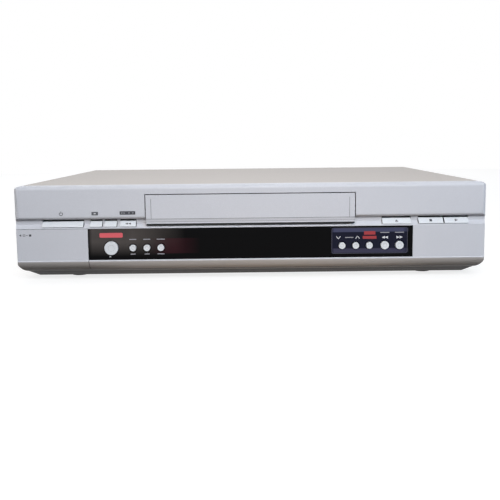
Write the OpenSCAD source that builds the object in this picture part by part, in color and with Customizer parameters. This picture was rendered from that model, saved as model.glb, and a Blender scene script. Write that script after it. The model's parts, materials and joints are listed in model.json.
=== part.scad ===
// Front-loading video cassette recorder in a slim silver case, with its tape deck.
// Millimetres, +Z up, the front faces -Y. The origin is under the middle of the case,
// on the surface it stands on. Inside the modules y is counted back from the front plane.

/* [Case] */
// Width of the casing
body_w = 430; // [426:0.5:440]
// Depth from the front plane to the rear panel's outer face
body_d = 280; // [276:0.5:300]
// Height of the cover's top above the surface
body_h = 90; // [89:0.5:96]
// Radius of the long upper corners
corner_r = 6; // [5:0.5:8]
// Radius of the front panel's upright corners, seen from above
plan_r = 5; // [4:0.5:7]
// Radius of the roll along the front panel's upper edge
edge_r = 4; // [3.5:0.25:5]
// Thickness of the folded steel cover
cover_t = 0.8; // [0.6:0.1:1]
// Thickness of the steel rear panel
rear_t = 0.8; // [0.6:0.1:1.2]
// Wall of the moulded front panel
panel_t = 2.5; // [2.2:0.1:2.8]
// Depth of the front panel's top and side returns
panel_ret = 10; // [9:0.5:12]
// Height from the surface to the bottom plate
foot_h = 4.2; // [3.8:0.1:5]
// Radius of a foot
foot_r = 9; // [7:0.5:11]

/* [Front section] */
// Lower edge of the flat upper face
face_low = 62; // [61:0.25:63]
// Top of the finger groove
groove_top = 58.5; // [58:0.25:60]
// Bottom of the groove's back wall
groove_low = 54.5; // [54:0.1:55]
// Depth of the groove's back wall behind the front plane
groove_d = 5; // [4.5:0.1:5.5]
// Lower edge of the sloped ledge under the groove
ledge_low = 51; // [50.9:0.05:51.2]
// Set-back of the lower face behind the front plane
lower_set = 2; // [1.5:0.1:2.4]
// Height at which the lower face turns into the skirt
skirt_top = 20; // [19:0.25:20.5]
// Height of the skirt's lower end
skirt_low = 9.4; // [9.2:0.1:10]
// Depth of the skirt's lower end behind the front plane
skirt_d = 14; // [13:0.25:15]
// How far the sides draw in down the skirt
skirt_in = 6; // [5:0.25:7]

/* [Window and doors] */
// Width of the display window
window_w = 296.8; // [294:0.1:297.5]
// Lower edge of the display window
window_low = 21.5; // [21:0.25:23]
// Upper edge of the display window
window_top = 50.3; // [49.5:0.1:50.4]
// Thickness of the display window
window_t = 2.4; // [2:0.1:3]
// Width of the cassette flap
flap_w = 190; // [189:0.25:191]
// Thickness of the cassette flap
flap_t = 2; // [1.6:0.1:2.2]
// Radius of the flap's hinge pins
flap_pin_r = 1.3; // [1.1:0.05:1.4]
// Thickness of the front jack door
door_t = 2.2; // [1.8:0.1:2.4]
// Radius of the jack door's hinge pins
door_pin_r = 1.2; // [1:0.05:1.4]
// Visible gap round the doors and the window
seam = 0.5; // [0.3:0.05:0.7]
// Visible gap round the cassette flap
flap_gap = 0.8; // [0.6:0.05:0.9]

/* [Keys] */
// Travel of every key
key_travel = 0.7; // [0.5:0.05:0.9]
// Side clearance of a key in its slot
key_gap = 0.3; // [0.2:0.05:0.4]
// Height of the bar keys' lower edge
bar_low = 52.1; // [52:0.05:52.4]
// Height of the bar keys' upper edge
bar_top = 57.2; // [56.8:0.1:57.6]
// Height of the round keys' row
round_z = 32.3; // [31:0.1:34]
// Radius of the timer key
big_key_r = 6.2; // [5.5:0.1:6.6]
// Radius of the small round keys
small_key_r = 3; // [2.6:0.1:3.4]
// Radius of the tape winding keys
wind_key_r = 3.7; // [3.2:0.1:4]

/* [Tape deck] */
// Height of the deck plate's lower face
deck_z = 26; // [25.8:0.1:26.2]
// Thickness of the deck plate
deck_t = 1.6; // [1.2:0.1:1.8]
// Half of the distance between the two reels
reel_x = 46; // [45.5:0.1:46.5]
// Radius of a reel table
reel_r = 23.9; // [23:0.1:24]
// Radius of the head drum
drum_r = 31; // [30:0.25:31.5]
// Lean of the head drum
drum_tilt = 5.96; // [5:0.1:6.5]
// Radius of the capstan shaft
capstan_r = 1.5; // [1.25:0.05:1.75]
// Radius of the pinch roller
pinch_r = 6.5; // [6:0.1:6.8]
// Radial clearance of a shaft in its bore
run = 0.06; // [0.03:0.01:0.09]
// Module of the gears
gear_m = 1; // [0.98:0.01:1.02]

/* [Cassette loader] */
// Clear height inside the cassette holder
hold_h = 25.6; // [25.4:0.1:25.8]
// Half of the clear width inside the holder
hold_x = 94.6; // [94.2:0.1:94.8]
// Length of the holder
hold_len = 65; // [60:0.5:66]
// Sheet of the holder, carriage and loader frame
sheet = 0.8; // [0.7:0.05:0.9]
// How far the carriage takes the cassette in
load_in = 40; // [38:0.5:41]
// How far the holder lowers the cassette
load_down = 19; // [17:0.25:19.2]

/* [Rear connections] */
// Reach of the jacks behind the rear panel
jack_reach = 8; // [7:0.25:10]
// Outer radius of a phono jack's sleeve
phono_r = 4.15; // [4.05:0.05:4.25]
// Outer radius of an aerial socket
aerial_r = 4.75; // [4.6:0.05:4.8]
// Distance between neighbouring phono jacks
phono_step = 14; // [13:0.25:16]

/* [Hidden] */
$fn = 64;
eps = 0.02;
fit = 0.3; // gap between neighbouring fixed pieces and moving ones

half_w = body_w / 2;
total_d = body_d + jack_reach;
deck_top = deck_z + deck_t;
panel_back = skirt_d + fit; // the chassis starts here
chassis_top = 26; // rim of the chassis inside the cover
bottom_t = 0.8;
floor_z = foot_h + bottom_t; // top of the bottom plate
floor_t = 2; // moulded floor of the chassis
board_z = floor_z + floor_t + 5; // the flat circuit boards lie on pillars
board_t = 1.6;

silver = [0.76, 0.78, 0.80];
cover_grey = [0.72, 0.70, 0.69];
dark = [0.18, 0.17, 0.17];
black = [0.06, 0.06, 0.07];
steel = [0.70, 0.71, 0.72];
key_white = [0.90, 0.91, 0.93];
board_green = [0.10, 0.32, 0.18];
nylon = [0.88, 0.87, 0.82];

// Everything inside a module is placed from the front plane
module stand() translate([0, -total_d / 2, 0]) children();

// Upright rod standing on z
module rod(p, z, r, h) translate([p[0], p[1], z]) cylinder(h = h, r = r);
// Block from its two opposite corners
module block(a, b) translate(a) cube(b - a);
// Cylinder along X from x0 to x1, and along Y from y0 to y1
module bar_x(x0, x1, y, z, r) translate([x0, y, z]) rotate([0, 90, 0]) cylinder(h = x1 - x0, r = r);
module bar_y(x, y0, y1, z, r) translate([x, y0, z]) rotate([-90, 0, 0]) cylinder(h = y1 - y0, r = r);
// Outline in y and z swept along X from x0 to x1
module sweep_x(x0, x1, pts) translate([x0, 0, 0]) rotate([90, 0, 90])
    linear_extrude(height = x1 - x0) polygon(pts);
// Outline in x and z swept along Y from y0 to y1
module sweep_y(y0, y1, pts) translate([0, y1, 0]) rotate([90, 0, 0])
    linear_extrude(height = y1 - y0) polygon(pts);
module both_sides() { children(); mirror([1, 0, 0]) children(); }

function arc(c, r, a0, a1, n = 6) =
    [for (i = [0:n]) let (a = a0 + (a1 - a0) * i / n) c + r * [cos(a), sin(a)]];
function bend(p, q, s, n = 6) =
    [for (i = [0:n]) let (t = i / n) (1 - t) * (1 - t) * p + 2 * t * (1 - t) * q + t * t * s];
function flip(pts) = [for (i = [len(pts) - 1:-1:0]) [-pts[i][0], pts[i][1]]];
function polar(r, a) = r * [cos(a), sin(a)];

// ---------------------------------------------------------------- casing

lip_out = 0.6; // the skirt's upper edge stands out as a fine lip
// The front's section, drawn in y and z, with the skin t inside the outer face
skirt_mid = [lower_set + 3, skirt_low + 2.3];
function front_line(t) = concat(
    arc([edge_r, body_h - edge_r], edge_r - t, 90, 180),
    bend([t, face_low], [t, groove_top + 1], [groove_d - 0.5 + t, groove_top]),
    [[groove_d + t, groove_low], [lower_set + t, ledge_low]],
    [[lower_set + t, skirt_top + 1.1], [lower_set - lip_out + t, skirt_top + 0.5]],
    bend([lower_set - lip_out + t, skirt_top], skirt_mid + [t, 0], [skirt_d + t, skirt_low], 8));
// The front view's outline in x and z
function front_outline(t) = let (right = concat(
    bend([half_w - skirt_in - t, skirt_low], [half_w - 1.2 - t, skirt_low + 3.5], [half_w - t, skirt_top], 8),
    arc([half_w - corner_r, body_h - corner_r], corner_r - t, 0, 90)))
    concat(right, flip(right));
// The plan's outline in x and y
function plan_outline(t, back) = concat(
    arc([plan_r - half_w, plan_r], plan_r - t, 180, 270), arc([half_w - plan_r, plan_r], plan_r - t, 270, 360),
    [[half_w - t, back], [t - half_w, back]]);

// Solid inside the panel's skin: t is the depth under the outer face
module face_solid(t, ret, low_back) intersection() {
    sweep_x(-half_w, half_w, concat(front_line(t),
        [[low_back, skirt_low], [low_back, skirt_top], [ret, skirt_top], [ret, body_h - t]]));
    sweep_y(-1, low_back + ret, front_outline(t));
    linear_extrude(height = body_h + 1) polygon(plan_outline(t, low_back + ret));
}
module face_skin(t) difference() {
    face_solid(0, panel_ret, skirt_d);
    face_solid(t, panel_ret + 5, skirt_d + 5);
}

// Cassette flap and its hinge
flap_low = groove_low - 0.6;
flap_top = body_h - 9;
hinge_y = flap_pin_r + 1.9;
hinge_z = flap_top + 3.2;
flap_x = flap_w / 2;
flap_line = groove_top + 0.3; // below this line the flap's face steps back a little
flap_step = 0.5;
flap_back = panel_t + fit + 1; // back of the flange along its top
load_z = flap_top - 0.7 - hold_h; // loading path's floor, its roof just under the flap's top edge
ear_w = 2.6; // ears at the flap's ends
boss_x0 = flap_x + 1.4;
boss_x1 = boss_x0 + 3;

// Jack door at the left end
door_right = -window_w / 2 - seam;
door_wrap = 8; // depth of its wrapped corner
door_y = 12; // hinge axis
door_z = 16;
tub_x0 = -half_w + 4; // recess behind the door
tub_x1 = -window_w / 2;
tub_wall = 1.5;
tub_back = 22;
tub_floor = door_z + 4.4;
tub_top = ledge_low + 0.4;
jack_z = 35;
jack_step = (tub_x1 - tub_x0) / 3.9;
jack_x = [for (i = [-1:1]) (tub_x0 + tub_x1) / 2 + i * jack_step];

// Bar keys in the groove: centre and width; four beside the flap, three from the right end
bars = [[-flap_x - 76.5, 37.7], [-flap_x - 46.2, 11.2], [-flap_x - 32.9, 11.3], [-flap_x - 17, 14.7],
    [half_w - 81.4, 26.3], [half_w - 50.1, 22.7], [half_w - 26.7, 22]];
// Stop and play share a slot, over both of their widths
bar_slots = [bars[0], bars[1], bars[2], bars[3], bars[4],
    [(bars[5][0] - bars[5][1] / 2 + bars[6][0] + bars[6][1] / 2) / 2, bars[6][0] - bars[5][0] + (bars[5][1] + bars[6][1]) / 2]];
// Round keys in the window, counted from its ends: centre and radius
rounds = concat([for (k = [[20.7, big_key_r], [40.5, small_key_r], [53.3, small_key_r], [66.1, small_key_r]])
        [k[0] - window_w / 2, k[1]]],
    [for (k = [[64.7, small_key_r], [52.2, small_key_r], [39.7, small_key_r], [25.6, wind_key_r], [12.1, wind_key_r]])
        [window_w / 2 - k[0], k[1]]]);
bar_face = 1.5; // the bar keys' lower front edge
bar_back = groove_d + panel_t + 0.2; // their flanges rest behind the wall
slot_rise = 1.8; // their slots stay open above them
round_face = 1; // front face of the round keys
ring = 1.3; // width of the sunk ring round a round key
sleeve = 3; // length of the key guides behind the window
switch_y = 19; // tip of the switches' plungers
pcb_y = 24; // upright board behind the panel
board_boss_x = [-110, 0, 110, half_w - 25];
board_boss_z = 19;

module front_panel() stand() color(silver) difference() {
    union() {
        difference() {
            face_skin(panel_t);
            // cassette opening and the pocket for the flap's ears and spring
            block([-flap_x - flap_gap, -1, flap_low - flap_gap], [flap_x + flap_gap, skirt_d, flap_top + flap_gap]);
            both_sides() block([flap_x - 10, 0.9, flap_top - 1], [flap_x + 1.1, skirt_d, body_h - panel_t]);
            // window opening
            block([-window_w / 2 - 0.1, -1, window_low - 0.1], [window_w / 2 + 0.1, skirt_d, window_top + 0.1]);
            // the left end belongs to the jack door
            block([-half_w - 1, -1, 0], [tub_x1 + 0.02, door_wrap + fit, ledge_low - 0.5]);
            block([-half_w - 1, -1, 0], [tub_x1 + 0.02, skirt_d + 6, door_z + fit]);
            for (s = bar_slots) block([s[0] - s[1] / 2 - key_gap, -1, bar_low - key_gap],
                [s[0] + s[1] / 2 + key_gap, skirt_d, bar_top + slot_rise]);
        }
        // rebate behind the window and round it
        difference() {
            block([-window_w / 2 - 0.1, lower_set + window_t + 0.1, window_low - 2],
                [window_w / 2 + 2, lower_set + window_t + 1.6, window_top + 0.3]);
            block([-window_w / 2 + 3, 0, window_low + 2], [window_w / 2 - 2, 10, window_top - 1.5]);
        }
        // recess for the front jacks: back, top, floor and ends
        difference() {
            block([tub_x0, tub_back, tub_floor - tub_wall], [tub_x1 + tub_wall, tub_back + tub_wall, tub_top]);
            for (x = jack_x) bar_y(x, tub_back - 1, tub_back + 3, jack_z, phono_r + 1);
        }
        block([tub_x0 - 1.5, lower_set + 2.3, tub_top - 1], [tub_x1 + tub_wall, tub_back + 1, tub_top]);
        block([tub_x0, door_y - 2, tub_floor - tub_wall], [tub_x1 + tub_wall, tub_back + 1, tub_floor]);
        block([tub_x0, door_wrap + fit, tub_floor - tub_wall], [tub_x0 + tub_wall, tub_back + 1, tub_top]);
        block([tub_x0 - 2, door_wrap + fit, tub_floor - tub_wall], [tub_x0 + 1, panel_ret, tub_top]);
        block([tub_x1, lower_set + window_t + 0.1, tub_floor - tub_wall], [tub_x1 + tub_wall, tub_back + 1, tub_top]);
        // hanging ears for the jack door's pins
        for (x = [tub_x0 + 4.6, tub_x1 - 5.6]) block([x, door_y - 2.4, door_z - 2.4], [x + 2, door_y + 2.4, tub_floor]);
        // bosses for the flap's pins
        both_sides() bar_x(boss_x0, boss_x1, hinge_y, hinge_z, flap_pin_r + 1.9);
        both_sides() block([boss_x0, hinge_y, hinge_z], [boss_x1, hinge_y + 2.5, body_h - 1]);
        // tongues that lie on the chassis rim
        for (x = [-90, 0, 90, half_w - 25]) block([x - 8, skirt_d - 1, skirt_low + fit], [x + 8, skirt_d + 8, skirt_low + fit + 2]);
        // bosses that carry the board behind the panel
        for (x = board_boss_x) bar_y(x, lower_set + 2, pcb_y, board_boss_z, 2.5);
    }
    both_sides() bar_x(boss_x0 - 1, boss_x1 + 1, hinge_y, hinge_z, flap_pin_r + run);
    bar_x(tub_x0 + 3, tub_x1 - 1, door_y, door_z, door_pin_r + run);
}

// A flat cover panel with rows of vent slots
module slots(xs, y, z, size) for (x = xs) translate([x, y, z]) cube(size, center = true);

cover_low = skirt_top + 0.2;
cover_y0 = panel_ret + fit;
screw_y = [62, body_d - 48];
screw_z = 40;
rear_screw_x = [19 - half_w, -66, 66, half_w - 19];
rear_screw_z = body_h - 5.5;
rear_split = body_h - 12; // the cover's rear flange ends here
function cover_line(t) = let (right = concat([[half_w - t, cover_low - t]],
    arc([half_w - corner_r, body_h - corner_r], corner_r - t, 0, 90, 12))) concat(right, flip(right));
module top_cover() stand() color(cover_grey) difference() {
    union() {
        difference() {
            sweep_y(cover_y0, body_d, cover_line(0));
            sweep_y(cover_y0 - 1, body_d + 1, cover_line(cover_t));
        }
        // rear flange, screwed to the rear panel's lip
        intersection() {
            sweep_y(body_d - cover_t, body_d, cover_line(cover_t / 2));
            block([-half_w, 0, rear_split + fit], [half_w, body_d + 1, body_h]);
        }
    }
    // vents down both sides
    for (i = [0:9]) both_sides() slots([half_w], 118 + i * 9, 58, [6, 3, 24]);
    both_sides() for (y = screw_y) bar_x(half_w - 2, half_w + 1, y, screw_z, 1.8);
    for (x = rear_screw_x) bar_y(x, body_d - 3, body_d + 1, rear_screw_z, 1.8);
}

// Dark moulded frame: rim, floor and pillars
pillar_x = 103;
deck_x = pillar_x + 5; // half of the deck plate's width
deck_y0 = 40;
deck_y1 = 248;
pillar_y = [deck_y0 + 10, deck_y1 - 6];
frame_side = half_w - cover_t - fit;
rim_t = 2; // wall of the rim
inner_rim = [[half_w - skirt_in - 2.5, skirt_low + 1], [frame_side - rim_t, skirt_top],
    [frame_side - rim_t, chassis_top + 1]];
side_board_x = deck_x + 5; // inner edge of the side boards
module chassis_frame() stand() color(dark) difference() {
    union() {
        difference() {
            sweep_y(panel_back, body_d - rear_t - fit, let (right = concat([[half_w - skirt_in - 9, foot_h]],
                bend([half_w - skirt_in, skirt_low], [half_w - 1.2, skirt_low + 3.5], [half_w, skirt_top], 6),
                [[frame_side, skirt_top + 0.05], [frame_side, chassis_top]])) concat(right, flip(right)));
            // the strip under the skirt leans back
            sweep_x(-half_w, half_w, [[panel_back - 1, foot_h - 1], [panel_back - 1, skirt_low],
                [panel_back, skirt_low], [panel_back + 5.7, foot_h], [panel_back + 5.7, foot_h - 1]]);
            // hollow inside; the front of the rim stays below the panel's works
            sweep_y(panel_back + 7.6, body_d - rear_t - fit - rim_t, let (right = concat(
                [[half_w - skirt_in - 11.5, floor_z + floor_t]], inner_rim)) concat(right, flip(right)));
            sweep_y(0, panel_back + 8.5, let (right = concat(
                [[inner_rim[0][0], skirt_low]], inner_rim)) concat(right, flip(right)));
            // the jack door's lower edge swings back into the left side
            block([-half_w - 1, 0, skirt_low], [tub_x1, door_y + 7.4, door_z + 2.4]);
            // the rear rim stays below the connections
            block([14 - half_w, body_d - 9, board_z - 0.5], [half_w - 14, body_d, chassis_top + 1]);
            // room for the bottom plate
            block([-plate_x - fit, plate_y0 - fit, 0], [plate_x + fit, plate_y1 + fit, floor_z]);
            // window in the floor under the deck's motor and belt
            block([-30, 84, 0], [98, 188, floor_z + floor_t + 1]);
            for (y = foot_y) both_sides() rod([foot_x, y], 0, 1.6, floor_z + floor_t + 1);
        }
        // upright tabs that take the side screws
        both_sides() for (y = screw_y) block([frame_side - rim_t, y - 14, chassis_top - 4], [frame_side, y + 14, screw_z + 8]);
        // pillars under the deck and the boards
        for (y = pillar_y) both_sides() rod([pillar_x, y], floor_z, 4, deck_z - floor_z);
        for (y = board_pillar_y) both_sides() {
            rod([side_board_x + 6, y], floor_z, 3, board_z - floor_z);
            rod([frame_side - 14, y], floor_z, 3, board_z - floor_z);
        }
    }
    for (y = screw_y) both_sides() bar_x(frame_side - 5, frame_side + 1, y, screw_z, 1.5 + run);
}
board_pillar_y = [60, 150, body_d - 22];

plate_x = half_w - skirt_in - 12;
plate_y0 = 30;
plate_y1 = body_d - 8;
foot_x = half_w - 47;
foot_y = [44, body_d - 30];
module bottom_plate() stand() color(steel) difference() {
    block([-plate_x, plate_y0, foot_h], [plate_x, plate_y1, floor_z]);
    for (x = [-60:12:60], y = [plate_y1 - 66, plate_y1 - 40])
        block([x - 1.5, y, foot_h - 1], [x + 1.5, y + 18, floor_z + 1]);
    for (y = foot_y) both_sides() rod([foot_x, y], foot_h - 1, 1.8, 3);
}

module feet() stand() color(black) for (y = foot_y) both_sides() difference() {
    rod([foot_x, y], 0, foot_r, foot_h);
    rod([foot_x, y], -1, 4, 3);
    rod([foot_x, y], -1, 1.8, foot_h + 2);
}

// Rear panel with holes for everything that reaches through it
rear_top = body_h - cover_t - fit;
rear_x = frame_side - 0.2;
lip_y = body_d - cover_t - 0.1; // outer face of the stepped lip
phono_x = -34; // middle of the phono jacks
phono_z = [40, 40 + phono_step];
tuner_x = deck_x + 38;
tuner_y0 = body_d - rear_t - 48;
aerial_x = [tuner_x - 14, tuner_x + 14];
aerial_z = 34;
inlet_x = 33 - half_w;
inlet_z = 26;
function phono_places() = [for (i = [-1:1], z = phono_z) [phono_x + i * phono_step, z]];
module rear_panel() stand() color(steel) difference() {
    union() {
        sweep_y(body_d - rear_t, body_d, [[-rear_x, chassis_top + 0.4], [-rear_x + 10, foot_h + 4], [rear_x - 10, foot_h + 4],
            [rear_x, chassis_top + 0.4], [rear_x, rear_split], [-rear_x, rear_split]]);
        // stepped lip behind the cover's flange takes its screws
        block([-rear_x + 8, lip_y - rear_t, rear_split - rear_t], [rear_x - 8, body_d, rear_split]);
        block([-rear_x + 8, lip_y - rear_t, rear_split - rear_t], [rear_x - 8, lip_y, rear_top - 1]);
    }
    for (p = phono_places()) bar_y(p[0], body_d - 2, body_d + 1, p[1], phono_r + 0.9);
    for (x = aerial_x) bar_y(x, body_d - 2, body_d + 1, aerial_z, aerial_r + 1);
    block([inlet_x - 11, body_d - 2, inlet_z - 6], [inlet_x + 11, body_d + 1, inlet_z + 6]);
    for (x = [60:7:102]) block([x - 1.5, body_d - 2, 52], [x + 1.5, body_d + 1, 76]);
    for (x = rear_screw_x) bar_y(x, lip_y - 2, body_d + 1, rear_screw_z, 1.5);
}

module screw_head(r) difference() {
    rotate_extrude() polygon([[0, -6], [1.45, -6], [1.45, 0], [r, 0], [r, 0.5], [r * 0.6, 1.15], [0, 1.3]]);
    for (a = [0, 90]) rotate([0, 0, a]) translate([0, 0, 1.3]) cube([3.6, 0.8, 1.2], center = true);
}
module cover_screws() stand() color(steel) {
    both_sides() for (y = screw_y) translate([half_w, y, screw_z]) rotate([0, 90, 0]) screw_head(3.8);
    for (x = rear_screw_x) translate([x, body_d, rear_screw_z]) rotate([-90, 0, 0]) screw_head(3.2);
    for (y = foot_y) both_sides() translate([foot_x, y, 1.6]) mirror([0, 0, 1]) screw_head(3.2);
}

// ---------------------------------------------------------------- connections

// Phono jack standing on y0, with its sleeve reaching to y1 (front jacks reach to lower y)
module phono(x, z, y0, y1) difference() {
    union() {
        bar_y(x, min(y0, y1), max(y0, y1), z, phono_r);
        bar_y(x, min(y0, y0 + sign(y1 - y0) * 1.2), max(y0, y0 + sign(y1 - y0) * 1.2), z, phono_r + 0.3);
    }
    bar_y(x, min(y1, y1 - sign(y1 - y0) * 9) - 0.01, max(y1, y1 - sign(y1 - y0) * 9) + 0.01, z, 1.7);
}
module front_jacks() stand() color(black) union() {
    for (x = jack_x) phono(x, jack_z, tub_back + tub_wall + 0.5, tub_back - 9);
    block([jack_x[0] - jack_step / 2, tub_back + tub_wall, jack_z - 9],
        [jack_x[2] + jack_step / 2, tub_back + tub_wall + 8, jack_z + 8]);
}
module rear_jacks() stand() color(black) union() {
    for (p = phono_places()) phono(p[0], p[1], body_d - rear_t - 0.5, body_d + jack_reach);
    block([phono_x - 1.5 * phono_step, body_d - rear_t - 12, phono_z[0] - phono_step / 2],
        [phono_x + 1.5 * phono_step, body_d - rear_t, phono_z[1] + phono_step / 2]);
}
module tuner_box() stand() color(steel) difference() {
    union() {
        block([tuner_x - 28, tuner_y0, board_z + board_t], [tuner_x + 28, body_d - rear_t, aerial_z + 14]);
        for (x = aerial_x) bar_y(x, body_d - rear_t - 1, body_d + jack_reach, aerial_z, aerial_r);
    }
    for (x = aerial_x) bar_y(x, body_d + 1, body_d + jack_reach + 1, aerial_z, 0.6);
}
module power_inlet() stand() color(black) difference() {
    union() {
        block([inlet_x - 10.6, body_d - rear_t - 16, inlet_z - 5.6], [inlet_x + 10.6, body_d + 0.8, inlet_z + 5.6]);
        block([inlet_x - 13, body_d - rear_t - 3, inlet_z - 8], [inlet_x + 13, body_d - rear_t, inlet_z + 8]);
    }
    difference() {
        union() {
            for (s = [-1, 1]) bar_y(inlet_x + s * 4, body_d - 11, body_d + 2, inlet_z, 3.9);
            block([inlet_x - 4, body_d - 11, inlet_z - 2.6], [inlet_x + 4, body_d + 2, inlet_z + 2.6]);
        }
        for (s = [-1, 1]) bar_y(inlet_x + s * 4.3, body_d - 12, body_d - 2, inlet_z, 1.2);
    }
}

// ---------------------------------------------------------------- electronics

side_out = frame_side - 8;
module main_board() stand() color(board_green) difference() {
    block([side_board_x, 34, board_z], [side_out, body_d - 10, board_z + board_t]);
    for (y = [90, 200]) rod([side_out - 6, y], board_z - 1, 1.6, 4);
}
// Small parts on the boards: upright can, flat chip, finned heat sink
module can(p, z, r, h) union() {
    rod(p, z, r, h - 0.5);
    rod(p, z, r - 0.5, h);
}
module chip(p, z, size) translate([p[0] - size[0] / 2, p[1] - size[1] / 2, z]) cube(size);
module fins(p, z, n, size) union() {
    chip(p, z, [size[0], 2, size[2]]);
    for (i = [0:n - 1]) chip([p[0] - size[0] / 2 + 0.8 + i * (size[0] - 1.6) / (n - 1), p[1] + size[1] / 2], z, [1.2, size[1], size[2]]);
}
module board_parts() stand() color(dark) {
    top = board_z + board_t;
    for (i = [0:4], j = [0:1]) can([side_board_x + 15 + i * 13, 60 + j * 34], top, 4 + (i % 2), 11 + 3 * (i % 3));
    for (p = [[27, 124], [59, 124], [43, 146]]) chip([side_board_x, 0] + p, top, [20, 20, 2.4]);
    for (i = [0:3]) chip([side_board_x + 13 + i * 18, tuner_y0 - 41], top, [8, 12, 7]);
    fins([side_out - 30, tuner_y0 - 23], top, 6, [30, 10, 24]);
    // shield over the head amplifier, on the deck
    chip([-62, deck_y1 - 22], deck_top, [52, 26, 12]);
}
module power_supply() stand() color([0.45, 0.36, 0.20]) {
    z = board_z;
    top = board_z + board_t;
    block([-side_out, 50, z], [-side_board_x, body_d - 12, top]);
    mid = 48 - side_out;
    union() { // transformer: the core's two legs and the winding
        for (y = [170, 196]) block([mid - 20, y, top], [mid + 20, y + 8, top + 32]);
        block([mid - 16, 178, top], [mid + 16, 196, top + 30]);
    }
    for (i = [0:2]) can([16 - side_out + i * 24, 130], top, 8, 26);
    fins([50 - side_out, body_d - 54], top, 7, [44, 12, 26]);
    chip([16 - side_out, body_d - 54], top, [16, 24, 18]);
}

// Upright board behind the front panel, with one switch for each key
board_low = skirt_top - 4;
module key_switch(x, z) union() {
    block([x - 3, switch_y + 1.5, z - 3], [x + 3, pcb_y, z + 3]);
    bar_y(x, switch_y, switch_y + 2, z, 1.6);
}
bar_mid = (bar_low + bar_top) / 2;
module front_board() stand() color(board_green) union() {
    sweep_y(pcb_y, pcb_y + board_t, [[tub_x1 + 4, board_low], [half_w - 12, board_low], [half_w - 12, bar_top + 4],
        [flap_x + 8, bar_top + 4], [flap_x + 8, flap_low - 4], [-flap_x - 8, flap_low - 4], [-flap_x - 8, bar_top + 4],
        [tub_x0 + 10, bar_top + 4], [tub_x0 + 10, tub_top + 0.3], [tub_x1 + 4, tub_top + 0.3]]);
    for (b = bars) key_switch(b[0], bar_mid);
    for (k = rounds) key_switch(k[0], round_z);
    for (x = [-60, 60]) chip([x, pcb_y + board_t + 2.4], board_low + 8, [16, 5, 16]);
}
tube_x = 46;
module display_tube() stand() color([0.25, 0.35, 0.35]) union() {
    block([-tube_x, 9, window_low + 3], [tube_x, 15, window_top - 3]);
    block([-tube_x + 3, 15, window_low + 5], [tube_x - 3, pcb_y, window_top - 8]);
}

// The window is drilled for the round keys, each in a sunk ring
module display_window() stand() color(black) difference() {
    union() {
        block([-window_w / 2, lower_set, window_low], [window_w / 2, lower_set + window_t, window_top]);
        for (k = rounds) bar_y(k[0], lower_set, lower_set + window_t + sleeve, round_z, k[1] + ring + 0.6);
    }
    for (k = rounds) {
        bar_y(k[0], 0, 12, round_z, k[1] + key_gap);
        translate([k[0], lower_set - 0.01, round_z]) rotate([-90, 0, 0])
            cylinder(h = 0.7, r1 = k[1] + ring, r2 = k[1] + key_gap);
    }
}

// ---------------------------------------------------------------- doors and keys

module cassette_flap() stand() color(silver) union() {
    difference() {
        sweep_x(-flap_x, flap_x, [[0, flap_top], [0, flap_line], [flap_step, flap_line - 2.3], [flap_step, flap_low],
            [flap_step + flap_t, flap_low], [flap_step + flap_t, flap_line - 2.3], [flap_t, flap_line], [flap_t, flap_top]]);
        // fine lines: one along the step and an upright one near each end
        block([-flap_x - 1, -1, flap_line], [flap_x + 1, 0.3, flap_line + 0.4]);
        both_sides() block([flap_x - 5, -1, flap_line], [flap_x - 4.6, 0.25, flap_top - 3.5]);
    }
    // end ribs close the groove's depth beside the flap
    both_sides() block([flap_x - 1.4, flap_t - 0.2, flap_low], [flap_x, groove_d + 1.5, face_low]);
    // flange that shuts the gap along the top
    sweep_x(12 - flap_x, flap_x - 12, [[flap_t - eps, flap_top - 3], [flap_back, flap_top - 2.2], [flap_back, flap_top + 1.8],
        [panel_t + fit, flap_top + 1.8], [panel_t + fit, flap_top - 0.4], [flap_t - eps, flap_top - 0.6]]);
    both_sides() {
        sweep_x(flap_x - ear_w, flap_x, [[0.95, flap_top - 1.4], [hinge_y - 1.9, hinge_z], [hinge_y - 1.2, hinge_z + 1.6],
            [hinge_y + 1.2, hinge_z + 1.6], [hinge_y + 1.9, hinge_z], [flap_t, flap_top - 1.4]]);
        bar_x(flap_x - ear_w, boss_x1 - 0.4, hinge_y, hinge_z, flap_pin_r);
        bar_x(flap_x - ear_w - 5, flap_x - ear_w + 1, hinge_y, hinge_z, flap_pin_r);
    }
}
// Close-wound closing spring on the flap's right-hand pin
spring_wire = 0.3;
module flap_spring() stand() color(steel) union() {
    r = flap_pin_r + fit + spring_wire;
    for (i = [0:6]) translate([flap_x - ear_w - 0.7 - i * 0.55, hinge_y, hinge_z]) rotate([0, 90, 0])
        rotate_extrude() translate([r, 0]) circle(r = spring_wire, $fn = 16);
    bar_y(flap_x - ear_w - 0.7, hinge_y, hinge_y + 7, hinge_z + r, spring_wire);
}

module jack_door() stand() color(silver) union() {
    intersection() {
        face_skin(door_t);
        union() {
            block([-half_w - 1, -1, skirt_low - 1], [door_right, door_wrap, ledge_low - 0.5 - seam / 2]);
            block([tub_x0 + 1, -1, skirt_low - 1], [door_right, skirt_d + 0.01, skirt_top - 1]);
            block([-half_w - 1, -1, skirt_low - 1], [tub_x0 + 2, door_y, door_z]);
        }
    }
    // ears with their pins
    for (s = [[tub_x0 + 6.9, -1], [tub_x1 - 8.2, 1]]) {
        sweep_x(s[0], s[0] + 2.3, [[lower_set + 3, door_z + 3], [lower_set + 6, skirt_low + 4.4], [door_y, door_z - 2],
            [door_y + 2, door_z], [door_y, door_z + 2]]);
        bar_x(s[0] + min(0, s[1] * 2.2), s[0] + 2.3 + max(0, s[1] * 2.2), door_y, door_z, door_pin_r);
    }
}

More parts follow.
